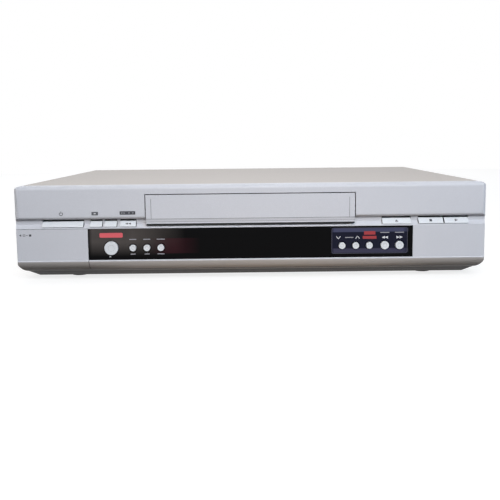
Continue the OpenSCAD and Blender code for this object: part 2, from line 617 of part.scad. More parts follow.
// Bar key: sloped face in the groove, flange behind the panel, stem to its switch
module bar_key(i) stand() color(key_white) union() {
    x = bars[i][0];
    w = bars[i][1];
    sweep_x(x - w / 2, x + w / 2, [[bar_face, bar_low], [bar_face, bar_low + 0.4], [groove_d - 0.3, bar_top - 0.3],
        [groove_d, bar_top], [bar_back, bar_top], [bar_back, bar_low]]);
    block([x - w / 2, bar_back - eps, bar_low + 0.3], [x + w / 2, bar_back + 1.2, bar_top + slot_rise + 0.5]);
    block([x - 1.6, bar_back + 1, bar_mid - 1.6], [x + 1.6, switch_y - key_travel - 0.05, bar_mid + 1.6]);
}
module round_key(i) stand() color(key_white) difference() {
    x = rounds[i][0];
    r = rounds[i][1];
    back = lower_set + window_t + sleeve + 0.2;
    union() {
        bar_y(x, round_face, back + 0.5, round_z, r);
        bar_y(x, back, back + 1.2, round_z, r + 1);
        bar_y(x, back + 1, switch_y - key_travel - 0.05, round_z, 1.8);
    }
    // shallow dish in the face
    translate([x, round_face + 0.25 - r * 5, round_z]) sphere(r = r * 5, $fn = 96);
}
module key_power() bar_key(0);
module key_display() bar_key(1);
module key_speed() bar_key(2);
module key_pause() bar_key(3);
module key_eject() bar_key(4);
module key_stop() bar_key(5);
module key_play() bar_key(6);
module key_timer() round_key(0);
module key_menu() round_key(1);
module key_set() round_key(2);
module key_clear() round_key(3);
module key_channel_down() round_key(4);
module key_channel_up() round_key(5);
module key_record() round_key(6);
module key_rewind() round_key(7);
module key_forward() round_key(8);

// ---------------------------------------------------------------- tape deck

cass_y0 = 38; // front edge of a loaded cassette
reel_y = cass_y0 + 46;
drum_c = [0, 197];
drum_z = 47.5; // height of the gap between the drum's halves
arm_x = 8 * gear_m;
arm_y = 174;
arm_r = 43; // from an arm's pivot to its post
arm_a0 = -59.3; // rest angle of the right-hand arm
arm_sweep = 104;
cam_a = 75;
cam_c = [arm_x, arm_y] + polar(32 * gear_m, cam_a);
pinion_a = 60;
pinion_c = cam_c + polar(30 * gear_m, pinion_a);
capstan_c = [66, 154];
clutch_c = [0, 105];
clutch_r = 10;
wheel_r = 8; // idler wheel
idler_len = clutch_r + wheel_r + 0.4;
pinch_c = [92, 178];
pinch_len = 27.94;
pinch_a0 = -110.6;
tension_c = [-84, 163];
tension_len = 30.5;
tension_a0 = -49;
post_r = 3;
slot_w = 2 * post_r + 1.6;
pin_r = 2; // pins on the deck
post_top = 60;
l1 = deck_z - 8.8; // three gear layers under the deck
l2 = deck_z - 6.4;
l3 = deck_z - 4.2;

// Ring sector between two angles
module sector(c, r0, r1, a0, a1, z, h) translate([c[0], c[1], z]) linear_extrude(height = h)
    polygon(concat(arc([0, 0], r1, a0, a1, 24), arc([0, 0], r0, a1, a0, 24)));

module deck_plate() stand() color(steel) difference() {
    union() {
        block([-deck_x, deck_y0, deck_z], [deck_x, deck_y1, deck_top]);
        for (s = [-1, 1]) rod([s * reel_x, reel_y], deck_top - eps, pin_r, 18.4);
        for (p = [pinch_c, tension_c]) rod(p, deck_top - eps, pin_r, 6.8);
        rod(clutch_c, deck_z - 4, 4.5, deck_t + 4.3);
        rod(pinch_c, deck_top - eps, pin_r, 13.4);
        for (s = [-1, 1]) rod([s * arm_x, arm_y], l3 + eps, pin_r, deck_z - l3);
        rod([arm_x, arm_y], l2, pin_r, deck_z - l2);
        rod(cam_c, l1 - 0.6, pin_r + 0.5, deck_z - l1 + 1);
    }
    rod(clutch_c, deck_z - 5, 1.5 + run, 10);
    rod(capstan_c, deck_z - 1, 6.5, 4);
    for (s = [0, 1]) mirror([s, 0, 0]) sector([arm_x, arm_y], arm_r - slot_w / 2, arm_r + slot_w / 2,
        arm_a0 - 5.4, arm_a0 + arm_sweep + 5.4, deck_z - 1, 4);
    rod(pinion_c, deck_z - 1, 3, 4);
    for (s = [-1, 1]) block([s * 60 - 16, 196, deck_z - 1], [s * 60 + 16, 208, deck_top + 1]);
    for (x = [-70, 70]) block([x - 20, 104, deck_z - 1], [x + 20, 126, deck_top + 1]);
}

module lean() translate([drum_c[0], drum_c[1], drum_z]) rotate([0, drum_tilt, 0]) children();
drum_h = 15;
module drum_base() stand() color([0.80, 0.81, 0.82]) difference() {
    union() {
        rod(drum_c, deck_top, 20, drum_z - drum_h - deck_top + 4);
        lean() translate([0, 0, -drum_h]) cylinder(h = drum_h - 0.2, r = drum_r);
    }
    lean() translate([0, 0, -drum_h - 1]) cylinder(h = drum_h + 2, r = 3 + run);
    // guide edge for the tape
    lean() translate([0, 0, -6]) difference() {
        cylinder(h = 10, r = drum_r + 2);
        translate([0, 0, -1]) cylinder(h = 12, r = drum_r - 0.15);
    }
}
module drum_rotor() stand() color([0.84, 0.85, 0.86]) lean() difference() {
    union() {
        translate([0, 0, 0.2]) cylinder(h = drum_h - 0.2, r = drum_r);
        translate([0, 0, -drum_h + 1]) cylinder(h = drum_h, r = 3);
        translate([0, 0, drum_h - 0.5]) cylinder(h = 3, r = 9);
    }
    translate([0, 0, drum_h - 2]) difference() {
        cylinder(h = 3, r = drum_r - 4);
        translate([0, 0, -1]) cylinder(h = 5, r = 13);
    }
    for (a = [0:120:240]) rotate([0, 0, a]) translate([20, 0, drum_h - 6]) cylinder(h = 5, r = 2.4);
    // slits for the video heads
    for (a = [0, 180]) rotate([0, 0, a]) translate([drum_r, 0, 1.5]) cube([2.4, 3, 3], center = true);
}

motor_z = floor_z + 1.5; // belt pulleys run just over the bottom plate
module capstan_stator() stand() color(board_green) difference() {
    union() {
        block([capstan_c[0] - 28, capstan_c[1] - 27, motor_z + 9], [capstan_c[0] + 30, capstan_c[1] + 30, motor_z + 10.4]);
        rod(capstan_c, motor_z + 9, 6.4, deck_top - motor_z - 9 + 4);
        rod(capstan_c, motor_z + 10, 9, deck_z - motor_z - 10);
        for (p = [[-20, -20], [26, -20], [22, 24]]) rod(capstan_c + p, motor_z + 10, 2.5, deck_z - motor_z - 10);
    }
    rod(capstan_c, motor_z, capstan_r + run, 40);
}
capstan_pulley_r = 9;
clutch_pulley_r = 14;
belt_t = 1.6;
// Pulley with a groove for the belt
module pulley(p, z, r, h) translate([p[0], p[1], z]) rotate_extrude()
    polygon([[0, 0], [r + 1.4, 0], [r + 1.4, 0.4], [r, 0.6], [r, h - 0.6], [r + 1.4, h - 0.4], [r + 1.4, h], [0, h]]);
module capstan_rotor() stand() color(steel) union() {
    pulley(capstan_c, motor_z, capstan_pulley_r, 3);
    rod(capstan_c, motor_z + 2.9, 24, 5.4);
    rod(capstan_c, motor_z + 2, capstan_r, 58 - motor_z);
}
module clutch_pulley() stand() color(nylon) union() {
    pulley(clutch_c, motor_z, clutch_pulley_r, 3);
    rod(clutch_c, motor_z + 2, 1.5, deck_top + 7.4 - motor_z - 2);
    rod(clutch_c, motor_z + 2, 6, deck_z - 4.3 - motor_z - 2);
    rod(clutch_c, deck_top + 0.6, clutch_r, 4.8);
}
module belt_side(a, b, ra, rb, z, h) {
    // one straight run of the belt, tangent to both pulleys on its left
    d = norm(b - a);
    t = atan2(b[1] - a[1], b[0] - a[0]);
    lean_a = acos((ra - rb) / d);
    for (s = [-1, 1]) let (u = polar(1, t + s * lean_a), p = a + ra * u, q = b + rb * u)
        translate([0, 0, z]) linear_extrude(height = h)
            polygon(s > 0 ? [p, q, q + belt_t * u, p + belt_t * u] : [q, p, p + belt_t * u, q + belt_t * u]);
}
module drive_belt() stand() color(black) union() {
    z = motor_z + 0.9;
    h = 1.2;
    ra = capstan_pulley_r + 0.2;
    rb = clutch_pulley_r + 0.2;
    t = atan2(clutch_c[1] - capstan_c[1], clutch_c[0] - capstan_c[0]);
    half = acos((ra - rb) / norm(clutch_c - capstan_c));
    belt_side(capstan_c, clutch_c, ra, rb, z, h);
    sector(capstan_c, ra, ra + belt_t, t + half - 0.5, t + 360 - half + 0.5, z, h);
    sector(clutch_c, rb, rb + belt_t, t - half - 0.5, t + half + 0.5, z, h);
}

// Gear wheel of n teeth, one of them at angle a; straight flanks with easy backlash
function tooth(r, a, n) = let (
    k = 180 / PI / r, tip = 0.30 * gear_m * k, mid = 0.58 * gear_m * k, root = 0.92 * gear_m * k,
    ro = r + 0.8 * gear_m, ri = r - 1.15 * gear_m)
    [polar(ri, a - root), polar(r, a - mid), polar(ro, a - tip), polar(ro, a + tip), polar(r, a + mid), polar(ri, a + root)];
function gear_points(n, a, i0, i1) = [for (i = [i0:i1]) each tooth(n * gear_m / 2, a + i * 360 / n, n)];
module gear(c, n, a, z, h) translate([c[0], c[1], z]) linear_extrude(height = h) polygon(gear_points(n, a, 0, n - 1));
// Phase of a gear of m teeth that meshes with one of n teeth at angle a, in the direction phi
function meshed(phi, a, n, m) = phi + 180 + 180 / m - n / m * (a - phi);

arm_teeth = 16;
sector_teeth = 48;
cam_pinion_teeth = 16;
cam_teeth = 48;
motor_teeth = 12;
takeup_phase = 0;
supply_phase = meshed(180, takeup_phase, arm_teeth, arm_teeth);
cam_pinion_phase = meshed(cam_a, cam_a, sector_teeth, cam_pinion_teeth);
motor_phase = meshed(pinion_a, pinion_a, cam_teeth, motor_teeth);

// Loading arm seen from the right-hand side; its blade lies in the top gear layer
module arm_blade() {
    tip = [arm_x, arm_y] + polar(arm_r, arm_a0);
    hull() {
        rod([arm_x, arm_y], l3, 5, 2);
        rod(tip, l3, post_r + 0.8, 2);
    }
    rod(tip, l3 + 0.2, post_r, deck_top + 3 - l3);
    rod(tip, deck_top + 2, post_r - 1.2, post_top - deck_top - 2);
    rod(tip, post_top - 18, post_r, 2);
    rod(tip, post_top - 15.4, post_r - 0.4, 12.8);
    rod(tip, post_top - 2, post_r, 2);
}
module takeup_arm() stand() color(nylon) difference() {
    union() {
        arm_blade();
        gear([arm_x, arm_y], arm_teeth, takeup_phase, l3, 2);
        // toothed sector that the cam's pinion drives
        translate([arm_x, arm_y, l2]) linear_extrude(height = 1.8)
            polygon(concat([polar(5, cam_a - 132)], gear_points(sector_teeth, cam_a, -16, 1), [polar(5, cam_a + 20)]));
        rod([arm_x, arm_y], l2, 6, l3 - l2 + 0.5);
    }
    rod([arm_x, arm_y], 0, pin_r + run, 100);
}
module supply_arm() stand() color(nylon) difference() {
    union() {
        mirror([1, 0, 0]) arm_blade();
        gear([-arm_x, arm_y], arm_teeth, supply_phase, l3, 2);
    }
    rod([-arm_x, arm_y], 0, pin_r + run, 100);
}
module cam_gear() stand() color([0.30, 0.45, 0.62]) difference() {
    union() {
        gear(cam_c, cam_teeth, pinion_a, l1, 2);
        gear(cam_c, cam_pinion_teeth, cam_pinion_phase, l1 + 1, l3 - 0.5 - l1 - 1);
    }
    rod(cam_c, 0, pin_r + 0.5 + run, 100);
    // cam groove in the underside
    difference() {
        rod(cam_c, l1 - 1, 20, 1.8);
        rod(cam_c, l1 - 2, 16, 4);
    }
}
motor_can_h = 18;
motor_shaft_r = 1;
module motor_pinion() stand() color(nylon) union() {
    gear(pinion_c, motor_teeth, motor_phase, l1 - 0.2, 2.4);
    rod(pinion_c, l1 + 1, motor_shaft_r, deck_top + 10 - l1 - 1);
}
module loading_motor() stand() color(steel) difference() {
    union() {
        rod(pinion_c, deck_top, 12, motor_can_h);
        rod(pinion_c, deck_top + motor_can_h - 0.1, 5, 1.6);
    }
    rod(pinion_c, deck_top - 1, motor_shaft_r + run, 12);
}

// Reel table with its winged spindle
module reel(s) stand() color(nylon) difference() {
    c = [s * reel_x, reel_y];
    z = deck_top + 0.4;
    union() {
        translate([c[0], c[1], z]) rotate_extrude() polygon([[0, 0], [reel_r, 0], [reel_r, 1.6], [reel_r - 1, 2.2],
            [reel_r - 1, 2.8], [reel_r, 3.4], [reel_r, 5], [reel_r - 2, 5.4], [9.5, 5.4], [9.5, 7.4], [7.4, 7.4],
            [7.4, 16.5], [5.5, 19], [0, 19]]);
        for (a = [0:120:240]) translate([c[0], c[1], z + 7]) rotate([0, 0, a + 30]) translate([6.5, -0.9, 0]) cube([2.6, 1.8, 8.5]);
    }
    rod(c, 0, pin_r + run, deck_top + 18.6);
}
module supply_reel() reel(-1);
module takeup_reel() reel(1);

module idler_arm() stand() color(steel) difference() {
    c = clutch_c + [0, -idler_len];
    z = deck_top + 5.8;
    union() {
        hull() {
            rod(clutch_c, z, 4, 1);
            rod(c, z, 4, 1);
        }
        rod(c, deck_top + 0.7, 1.5, z - deck_top);
    }
    rod(clutch_c, 0, 1.5 + run, 100);
}
module idler_wheel() stand() color(black) difference() {
    c = clutch_c + [0, -idler_len];
    rod(c, deck_top + 0.7, wheel_r, 4.6);
    rod(c, 0, 1.5 + run, 100);
}

module pinch_arm() stand() color(steel) difference() {
    tip = pinch_c + polar(pinch_len, pinch_a0);
    union() {
        rod(pinch_c, deck_top + 0.3, 4.5, 12.5);
        hull() {
            rod(pinch_c, deck_top + 10.8, 4.5, 2);
            rod(tip, deck_top + 10.8, 4, 2);
        }
        rod(tip, deck_top + 12, 1.5, 18);
        rod(tip, deck_top + 29.2, 2.6, 1.2);
    }
    rod(pinch_c, 0, pin_r + run, 100);
}
module pinch_roller() stand() color(black) difference() {
    tip = pinch_c + polar(pinch_len, pinch_a0);
    rod(tip, deck_top + 13.2, pinch_r, 15.6);
    rod(tip, 0, 1.5 + run, 100);
}
module tension_arm() stand() color(steel) difference() {
    tip = tension_c + polar(tension_len, tension_a0);
    union() {
        rod(tension_c, deck_top + 0.3, 4.5, 6);
        hull() {
            rod(tension_c, deck_top + 3.6, 4.5, 1.4);
            rod(tip, deck_top + 3.6, 3, 1.4);
        }
        rod(tip, deck_top + 4, 2.5, 57 - deck_top - 4);
    }
    rod(tension_c, 0, pin_r + run, 100);
}

// Fixed tape guides and the stops that the arms run up to
stop_a = arm_a0 + arm_sweep + 8.3;
module guide_posts() stand() color(steel) {
    for (p = [[-75, 170], [55, 197]]) union() {
        rod(p, deck_top, 4, 4);
        rod(p, deck_top, 2.2, 57 - deck_top);
        rod(p, 41, 3.2, 1.2);
        rod(p, 55.6, 3.2, 1.4);
    }
    both_sides() rod([arm_x, arm_y] + polar(arm_r, stop_a), deck_top, 2.4, 52 - deck_top);
}
module tape_heads() stand() color([0.60, 0.61, 0.63]) {
    for (h = [[[-66, 180], 7], [[63, 182], 6]]) union() {
        rod(h[0], deck_top, 3, 14);
        chip(h[0], 40, [2 * h[1], 10, 17]);
        chip(h[0], deck_top, [12, 12, 2]);
    }
}

// ---------------------------------------------------------------- cassette loader

hold_y0 = 36; // the holder's front edge, clear of the open flap
wall_x = hold_x + sheet;
cheek_x0 = wall_x + 0.6;
cheek_x1 = cheek_x0 + 1.2;
side_x0 = cheek_x1 + 1.4;
side_x1 = side_x0 + 1.2;
guide_r = 1.4;
hold_pin_y = [50, 88];
hold_pin_z = load_z + 18.3;
car_pin_y = [41, 97];
car_pin_z = load_z + 11.3;
car_top = load_z + hold_h + sheet + 1.1;
side_top = car_top + sheet + 1;

module cassette_holder() stand() color(steel) union() {
    both_sides() {
        block([hold_x, hold_y0, load_z - sheet], [wall_x, hold_y0 + hold_len, load_z + hold_h + sheet]);
        block([70, hold_y0, load_z - sheet], [hold_x + eps, hold_y0 + hold_len, load_z]);
        // stops for the cassette's far corners
        block([84, hold_y0 + hold_len - eps, load_z + 2], [wall_x, hold_y0 + hold_len + 0.8, load_z + 9]);
        for (y = hold_pin_y) bar_x(hold_x + eps, cheek_x1 + 0.6, y, hold_pin_z, guide_r);
    }
    difference() {
        block([-wall_x, hold_y0, load_z + hold_h], [wall_x, hold_y0 + hold_len, load_z + hold_h + sheet]);
        for (x = [-50, 50]) block([x - 26, hold_y0 + 18, load_z + hold_h - 1], [x + 26, hold_y0 + 48, load_z + hold_h + 2]);
    }
}
module loader_carriage() stand() color(steel) union() {
    both_sides() difference() {
        union() {
            block([cheek_x0, 37, hold_pin_z - load_down - 5], [cheek_x1, 102, car_top + sheet]);
            for (y = car_pin_y) bar_x(cheek_x0 + 0.1, side_x1 + 0.8, y, car_pin_z, guide_r);
        }
        for (y = hold_pin_y) block([0, y - guide_r - 0.2, hold_pin_z - load_down - guide_r - 0.3],
            [200, y + guide_r + 0.2, hold_pin_z + guide_r + 0.3]);
    }
    block([-cheek_x1, 78, car_top], [cheek_x1, 92, car_top + sheet]);
}
module loader_frame() stand() color(steel) difference() {
    union() {
        both_sides() {
            block([side_x0, 34, deck_top], [side_x1, 146, side_top + 1.2]);
            block([side_x0, 44, deck_top], [pillar_x + 4, 140, deck_top + 1.2]);
        }
        block([-side_x1, 62, side_top], [side_x1, 146, side_top + 1.2]);
    }
    both_sides() for (y = car_pin_y) block([0, y - guide_r - 0.3, car_pin_z - guide_r - 0.2],
        [200, y + load_in + guide_r + 0.3, car_pin_z + guide_r + 0.2]);
    for (x = [-50, 0, 50]) block([x - 18, 74, side_top - 1], [x + 18, 132, side_top + 3]);
}

front_panel();
top_cover();
chassis_frame();
bottom_plate();
rear_panel();
display_window();
feet();
cover_screws();
front_jacks();
rear_jacks();
tuner_box();
power_inlet();
main_board();
board_parts();
power_supply();
front_board();
display_tube();
deck_plate();
drum_base();
capstan_stator();
guide_posts();
tape_heads();
loader_frame();
loading_motor();
flap_spring();
drive_belt();
cassette_flap();
jack_door();
key_power();
key_display();
key_speed();
key_pause();
key_eject();
key_stop();
key_play();
key_timer();
key_menu();
key_set();
key_clear();
key_channel_down();
key_channel_up();
key_record();
key_rewind();
key_forward();
drum_rotor();
capstan_rotor();
supply_reel();
takeup_reel();
pinch_arm();
pinch_roller();
supply_arm();
takeup_arm();
tension_arm();
cam_gear();
motor_pinion();
idler_arm();
idler_wheel();
clutch_pulley();
loader_carriage();
cassette_holder();
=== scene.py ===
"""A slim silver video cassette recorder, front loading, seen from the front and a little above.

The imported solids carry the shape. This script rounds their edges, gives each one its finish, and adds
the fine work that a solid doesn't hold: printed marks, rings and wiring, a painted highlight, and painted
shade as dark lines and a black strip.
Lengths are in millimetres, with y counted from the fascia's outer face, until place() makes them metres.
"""
import json
import math

import bmesh
import bpy
import numpy as np
from mathutils import Matrix, Vector

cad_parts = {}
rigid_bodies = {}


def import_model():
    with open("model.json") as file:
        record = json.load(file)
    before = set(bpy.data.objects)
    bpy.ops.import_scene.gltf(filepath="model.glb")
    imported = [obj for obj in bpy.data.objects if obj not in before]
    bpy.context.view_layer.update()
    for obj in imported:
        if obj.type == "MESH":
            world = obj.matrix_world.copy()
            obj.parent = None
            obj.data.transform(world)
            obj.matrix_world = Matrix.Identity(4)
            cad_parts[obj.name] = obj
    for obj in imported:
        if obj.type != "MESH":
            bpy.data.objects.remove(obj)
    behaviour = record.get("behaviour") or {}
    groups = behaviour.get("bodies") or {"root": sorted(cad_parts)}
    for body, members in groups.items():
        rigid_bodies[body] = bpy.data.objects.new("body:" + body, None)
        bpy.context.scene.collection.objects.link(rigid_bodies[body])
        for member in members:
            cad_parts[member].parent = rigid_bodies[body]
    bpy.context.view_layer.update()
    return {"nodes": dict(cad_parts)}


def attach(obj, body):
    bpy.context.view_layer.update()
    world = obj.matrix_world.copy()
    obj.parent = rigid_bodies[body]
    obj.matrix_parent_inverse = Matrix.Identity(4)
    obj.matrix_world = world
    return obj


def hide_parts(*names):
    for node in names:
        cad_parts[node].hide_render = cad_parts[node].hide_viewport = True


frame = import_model()
solids = frame["nodes"]

MM = 0.001
FASCIA_Y = -144.0  # the fascia's outer face in the row frame
BODY_OF = {name: solid.parent.name.split(":")[-1] for name, solid in solids.items()}


# ---------------------------------------------------------------- camera, floor and lamps

def aim_camera():
    """Lens, place and turn solved from the photograph's edges; the roll lifts the right end a little."""
    data = bpy.data.cameras.new("studio_camera")
    data.lens, data.sensor_width = 43.6, 36.0
    data.shift_y = -0.1024
    data.clip_start, data.clip_end = 0.02, 40
    eye = bpy.data.objects.new("studio_camera", data)
    pitch, yaw, roll = 0.10, -0.0009, -0.0111
    flat = Vector((-math.sin(yaw), math.cos(yaw), 0))
    side = Vector((math.cos(yaw), math.sin(yaw), 0))
    ahead = math.cos(pitch) * flat - math.sin(pitch) * Vector((0, 0, 1))
    up = math.sin(pitch) * flat + math.cos(pitch) * Vector((0, 0, 1))
    side, up = math.cos(roll) * side + math.sin(roll) * up, math.cos(roll) * up - math.sin(roll) * side
    turned = Matrix((side, up, -ahead)).transposed().to_4x4()
    eye.matrix_world = Matrix.Translation((-0.00069, -0.68984, 0.13134)) @ turned
    bpy.context.collection.objects.link(eye)
    bpy.context.scene.camera = eye


def softbox(name, at, look, size, power, tint=(1, 1, 1), spread=180):
    """A rectangular lamp that faces a point, its beam as wide as spread degrees."""
    data = bpy.data.lights.new(name, "AREA")
    data.shape, data.size, data.size_y = "RECTANGLE", size[0], size[1]
    data.energy, data.color, data.spread = power, tint, math.radians(spread)
    lamp = bpy.data.objects.new(name, data)
    lamp.location = at
    lamp.rotation_euler = (Vector(look) - Vector(at)).to_track_quat("-Z", "Y").to_euler()
    bpy.context.collection.objects.link(lamp)


def cleared_tree(owner):
    """The node tree of a world or a material, with its nodes taken out."""
    owner.use_nodes = True
    owner.node_tree.nodes.clear()
    return owner.node_tree


def shown_and_shed(tree, shown, shed, output):
    """One shader for camera rays, reflections and glass, and another for the light the surface sheds."""
    add, link = tree.nodes.new, tree.links.new
    rays = add("ShaderNodeLightPath")
    seen = rays.outputs["Is Camera Ray"]
    for kind in ("Is Glossy Ray", "Is Transmission Ray"):
        either = add("ShaderNodeMath")
        either.operation = "MAXIMUM"
        link(seen, either.inputs[0])
        link(rays.outputs[kind], either.inputs[1])
        seen = either.outputs[0]
    mix, out = add("ShaderNodeMixShader"), add(output)
    link(seen, mix.inputs[0])
    link(shed.outputs[0], mix.inputs[1])
    link(shown.outputs[0], mix.inputs[2])
    link(mix.outputs[0], out.inputs["Surface"])


def build_world():
    """White surroundings for the eye and for reflections, with only a dim light from all round."""
    world = bpy.data.worlds.new("studio")
    tree = cleared_tree(world)
    bpy.context.scene.world = world
    white, dim = tree.nodes.new("ShaderNodeBackground"), tree.nodes.new("ShaderNodeBackground")
    for light, colour, strength in ((white, (1, 1, 1, 1), 1.0), (dim, (0.96, 0.97, 1, 1), 0.22)):
        light.inputs["Color"].default_value = colour
        light.inputs["Strength"].default_value = strength
    shown_and_shed(tree, white, dim, "ShaderNodeOutputWorld")


def build_floor():
    """A pale floor that keeps the shadow. It glows almost white to the eye, and throws a little warm light up
    at the skirt from a spot in front, which fades outwards as one minus the distance."""
    half = 1.7
    mesh = bpy.data.meshes.new("floor")
    corners = [(-half, -half, 0), (half, -half, 0), (half, half, 0), (-half, half, 0)]
    mesh.from_pydata(corners, [], [(0, 1, 2, 3)])
    floor = bpy.data.objects.new("floor", mesh)
    bpy.context.collection.objects.link(floor)
    paint = bpy.data.materials.new("floor_white")
    mesh.materials.append(paint)
    tree = cleared_tree(paint)
    add, link = tree.nodes.new, tree.links.new

    shade, glow, pale = add("ShaderNodeBsdfDiffuse"), add("ShaderNodeEmission"), add("ShaderNodeAddShader")
    shade.inputs["Color"].default_value = (0.34, 0.34, 0.34, 1)
    glow.inputs["Strength"].default_value = 0.76
    link(shade.outputs[0], pale.inputs[0])
    link(glow.outputs[0], pale.inputs[1])

    spot, place_spot = add("ShaderNodeTexGradient"), add("ShaderNodeMapping")
    spot.gradient_type = "SPHERICAL"
    place_spot.inputs["Location"].default_value = (-0.08, 0.9, 0)
    place_spot.inputs["Scale"].default_value = (4.4, 4.4, 1)
    link(add("ShaderNodeTexCoord").outputs["Object"], place_spot.inputs["Vector"])
    link(place_spot.outputs[0], spot.inputs[0])
    warm, dull = add("ShaderNodeMix"), add("ShaderNodeBsdfDiffuse")
    warm.data_type = "RGBA"
    warm.inputs["A"].default_value = (0.014, 0.009, 0.005, 1)
    warm.inputs["B"].default_value = (0.42, 0.285, 0.17, 1)
    link(spot.outputs["Fac"], warm.inputs["Factor"])
    link(warm.outputs["Result"], dull.inputs["Color"])
    shown_and_shed(tree, pale, dull, "ShaderNodeOutputMaterial")


def hang_lamps():
    """A narrow soft lamp in front, a cool one at the right, a weak one at the left and a large one behind."""
    middle = (0, 0, 0.05)
    softbox("front_box", (0.06, -1.0, 0.64), (0.05, -0.1, 0.05), (0.8, 0.4), 2.5, (1.0, 0.965, 0.94), 86)
    softbox("right_box", (1.6, -1.7, 1.1), middle, (0.9, 0.9), 17, (0.50, 0.76, 1.0))
    softbox("left_box", (-1.9, -0.4, 1.0), middle, (1.0, 1.0), 3.5)
    softbox("back_box", (-0.2, 1.9, 1.9), middle, (1.8, 0.9), 27)


# ---------------------------------------------------------------- finishes

def scaled(colour, by, more=0.0):
    """A colour times one number, or times a number for each part, plus a little more, held at one."""
    parts = by if isinstance(by, tuple) else (by, by, by)
    return tuple(min(1, c * k + more) for c, k in zip(colour, parts))


class Finish:
    """A Principled surface whose pattern reads Object coordinates, with short calls for its layers."""

    def __init__(self, name, colour, metallic=0.0, roughness=0.5, **sockets):
        self.material = bpy.data.materials.new(name)
        self.material.use_nodes = True
        self.tree = self.material.node_tree
        self.shader = self.tree.nodes["Principled BSDF"]
        self.shader.inputs["Base Color"].default_value = (*colour, 1)
        self.shader.inputs["Metallic"].default_value = metallic
        self.shader.inputs["Roughness"].default_value = roughness
        for key, value in sockets.items():
            self.shader.inputs[key.replace("_", " ")].default_value = value
        self.coords = self.tree.nodes.new("ShaderNodeTexCoord").outputs["Object"]
        self.colour = None
        self.height = None

    def node(self, kind, **values):
        """A new shader node with its settings."""
        made = self.tree.nodes.new("ShaderNode" + kind)
        for key, value in values.items():
            setattr(made, key, value)
        return made

    def link(self, a, b):
        """Joins an output to an input."""
        self.tree.links.new(a, b)

    def stretched(self, scale=(1, 1, 1), shift=(0, 0, 0), turn=(0, 0, 0)):
        """Object coordinates centred, turned and stretched."""
        mapping = self.node("Mapping")
        mapping.inputs["Location"].default_value = shift
        mapping.inputs["Rotation"].default_value = turn
        mapping.inputs["Scale"].default_value = scale
        self.link(self.coords, mapping.inputs["Vector"])
        return mapping.outputs[0]

    def noise(self, size, detail=2.0, rough=0.5, coords=None):
        """Cloudy noise whose lumps are about size millimetres across, from nought to one."""
        made = self.node("TexNoise")
        made.inputs["Scale"].default_value = 1 / (size * MM)
        made.inputs["Detail"].default_value = detail
        made.inputs["Roughness"].default_value = rough
        self.link(coords or self.coords, made.inputs["Vector"])
        return made.outputs["Fac"]

    def cells(self, size, feature="F1", output="Distance", coords=None):
        """Cells about size millimetres across."""
        made = self.node("TexVoronoi", feature=feature)
        made.inputs["Scale"].default_value = 1 / (size * MM)
        self.link(coords or self.coords, made.inputs["Vector"])
        return made.outputs[output]

    def stretch(self, value, low, high, to_low=0.0, to_high=1.0):
        """A value's span from low to high laid straight over another span, held at its ends."""
        made = self.node("MapRange")
        for key, number in (("From Min", low), ("From Max", high), ("To Min", to_low), ("To Max", to_high)):
            made.inputs[key].default_value = number
        self.link(value, made.inputs["Value"])
        return made.outputs[0]

    def math(self, operation, a, b):
        """An operation on an output and another output or a number."""
        made = self.node("Math", operation=operation)
        self.link(a, made.inputs[0])
        if isinstance(b, float):
            made.inputs[1].default_value = b
        else:
            self.link(b, made.inputs[1])
        return made.outputs[0]

    def tint(self, mask, colour):
        """The colour so far, changed to another where the mask is one."""
        mix = self.node("Mix", data_type="RGBA")
        if self.colour is None:
            mix.inputs["A"].default_value = self.shader.inputs["Base Color"].default_value
        else:
            self.link(self.colour, mix.inputs["A"])
        mix.inputs["B"].default_value = (*colour, 1)
        self.link(mask, mix.inputs["Factor"])
        self.colour = mix.outputs["Result"]
        self.link(self.colour, self.shader.inputs["Base Color"])
        return self

    def vary_roughness(self, mask, low, high):
        """Roughness that goes from low to high as the mask goes from nought to one."""
        self.link(self.stretch(mask, 0, 1, low, high), self.shader.inputs["Roughness"])
        return self

    def relief(self, height, depth, strength=1.0):
        """Bump of a depth in millimetres, laid over the bump that is there."""
        bump = self.node("Bump")
        bump.inputs["Distance"].default_value = depth * MM
        bump.inputs["Strength"].default_value = strength
        self.link(height, bump.inputs["Height"])
        if self.height is not None:
            self.link(self.height, bump.inputs["Normal"])
        self.height = bump.outputs[0]
        self.link(self.height, self.shader.inputs["Normal"])
        return self

    def ramp(self, axis, low, high, to_low=0.0, to_high=1.0):
        """A straight change along one axis, between two places in millimetres."""
        split = self.node("SeparateXYZ")
        self.link(self.coords, split.inputs[0])
        return self.stretch(split.outputs[axis], low * MM, high * MM, to_low, to_high)

    def window(self, x, z, soft=(1.0, 1.0)):
        """One inside a rectangle of the front: the product of four ramps. It fades over soft millimetres to
        either side of its left and right ends, and over a fixed rise at its lower and upper edges."""
        rise = 0.4
        inside = self.ramp("X", x[0] - soft[0], x[0] + soft[0])
        for axis, low, high in (("X", x[1] + soft[1], x[1] - soft[1]),
                                ("Z", z[0] - rise, z[0] + rise), ("Z", z[1] + rise, z[1] - rise)):
            inside = self.math("MULTIPLY", inside, self.ramp(axis, low, high))
        return inside


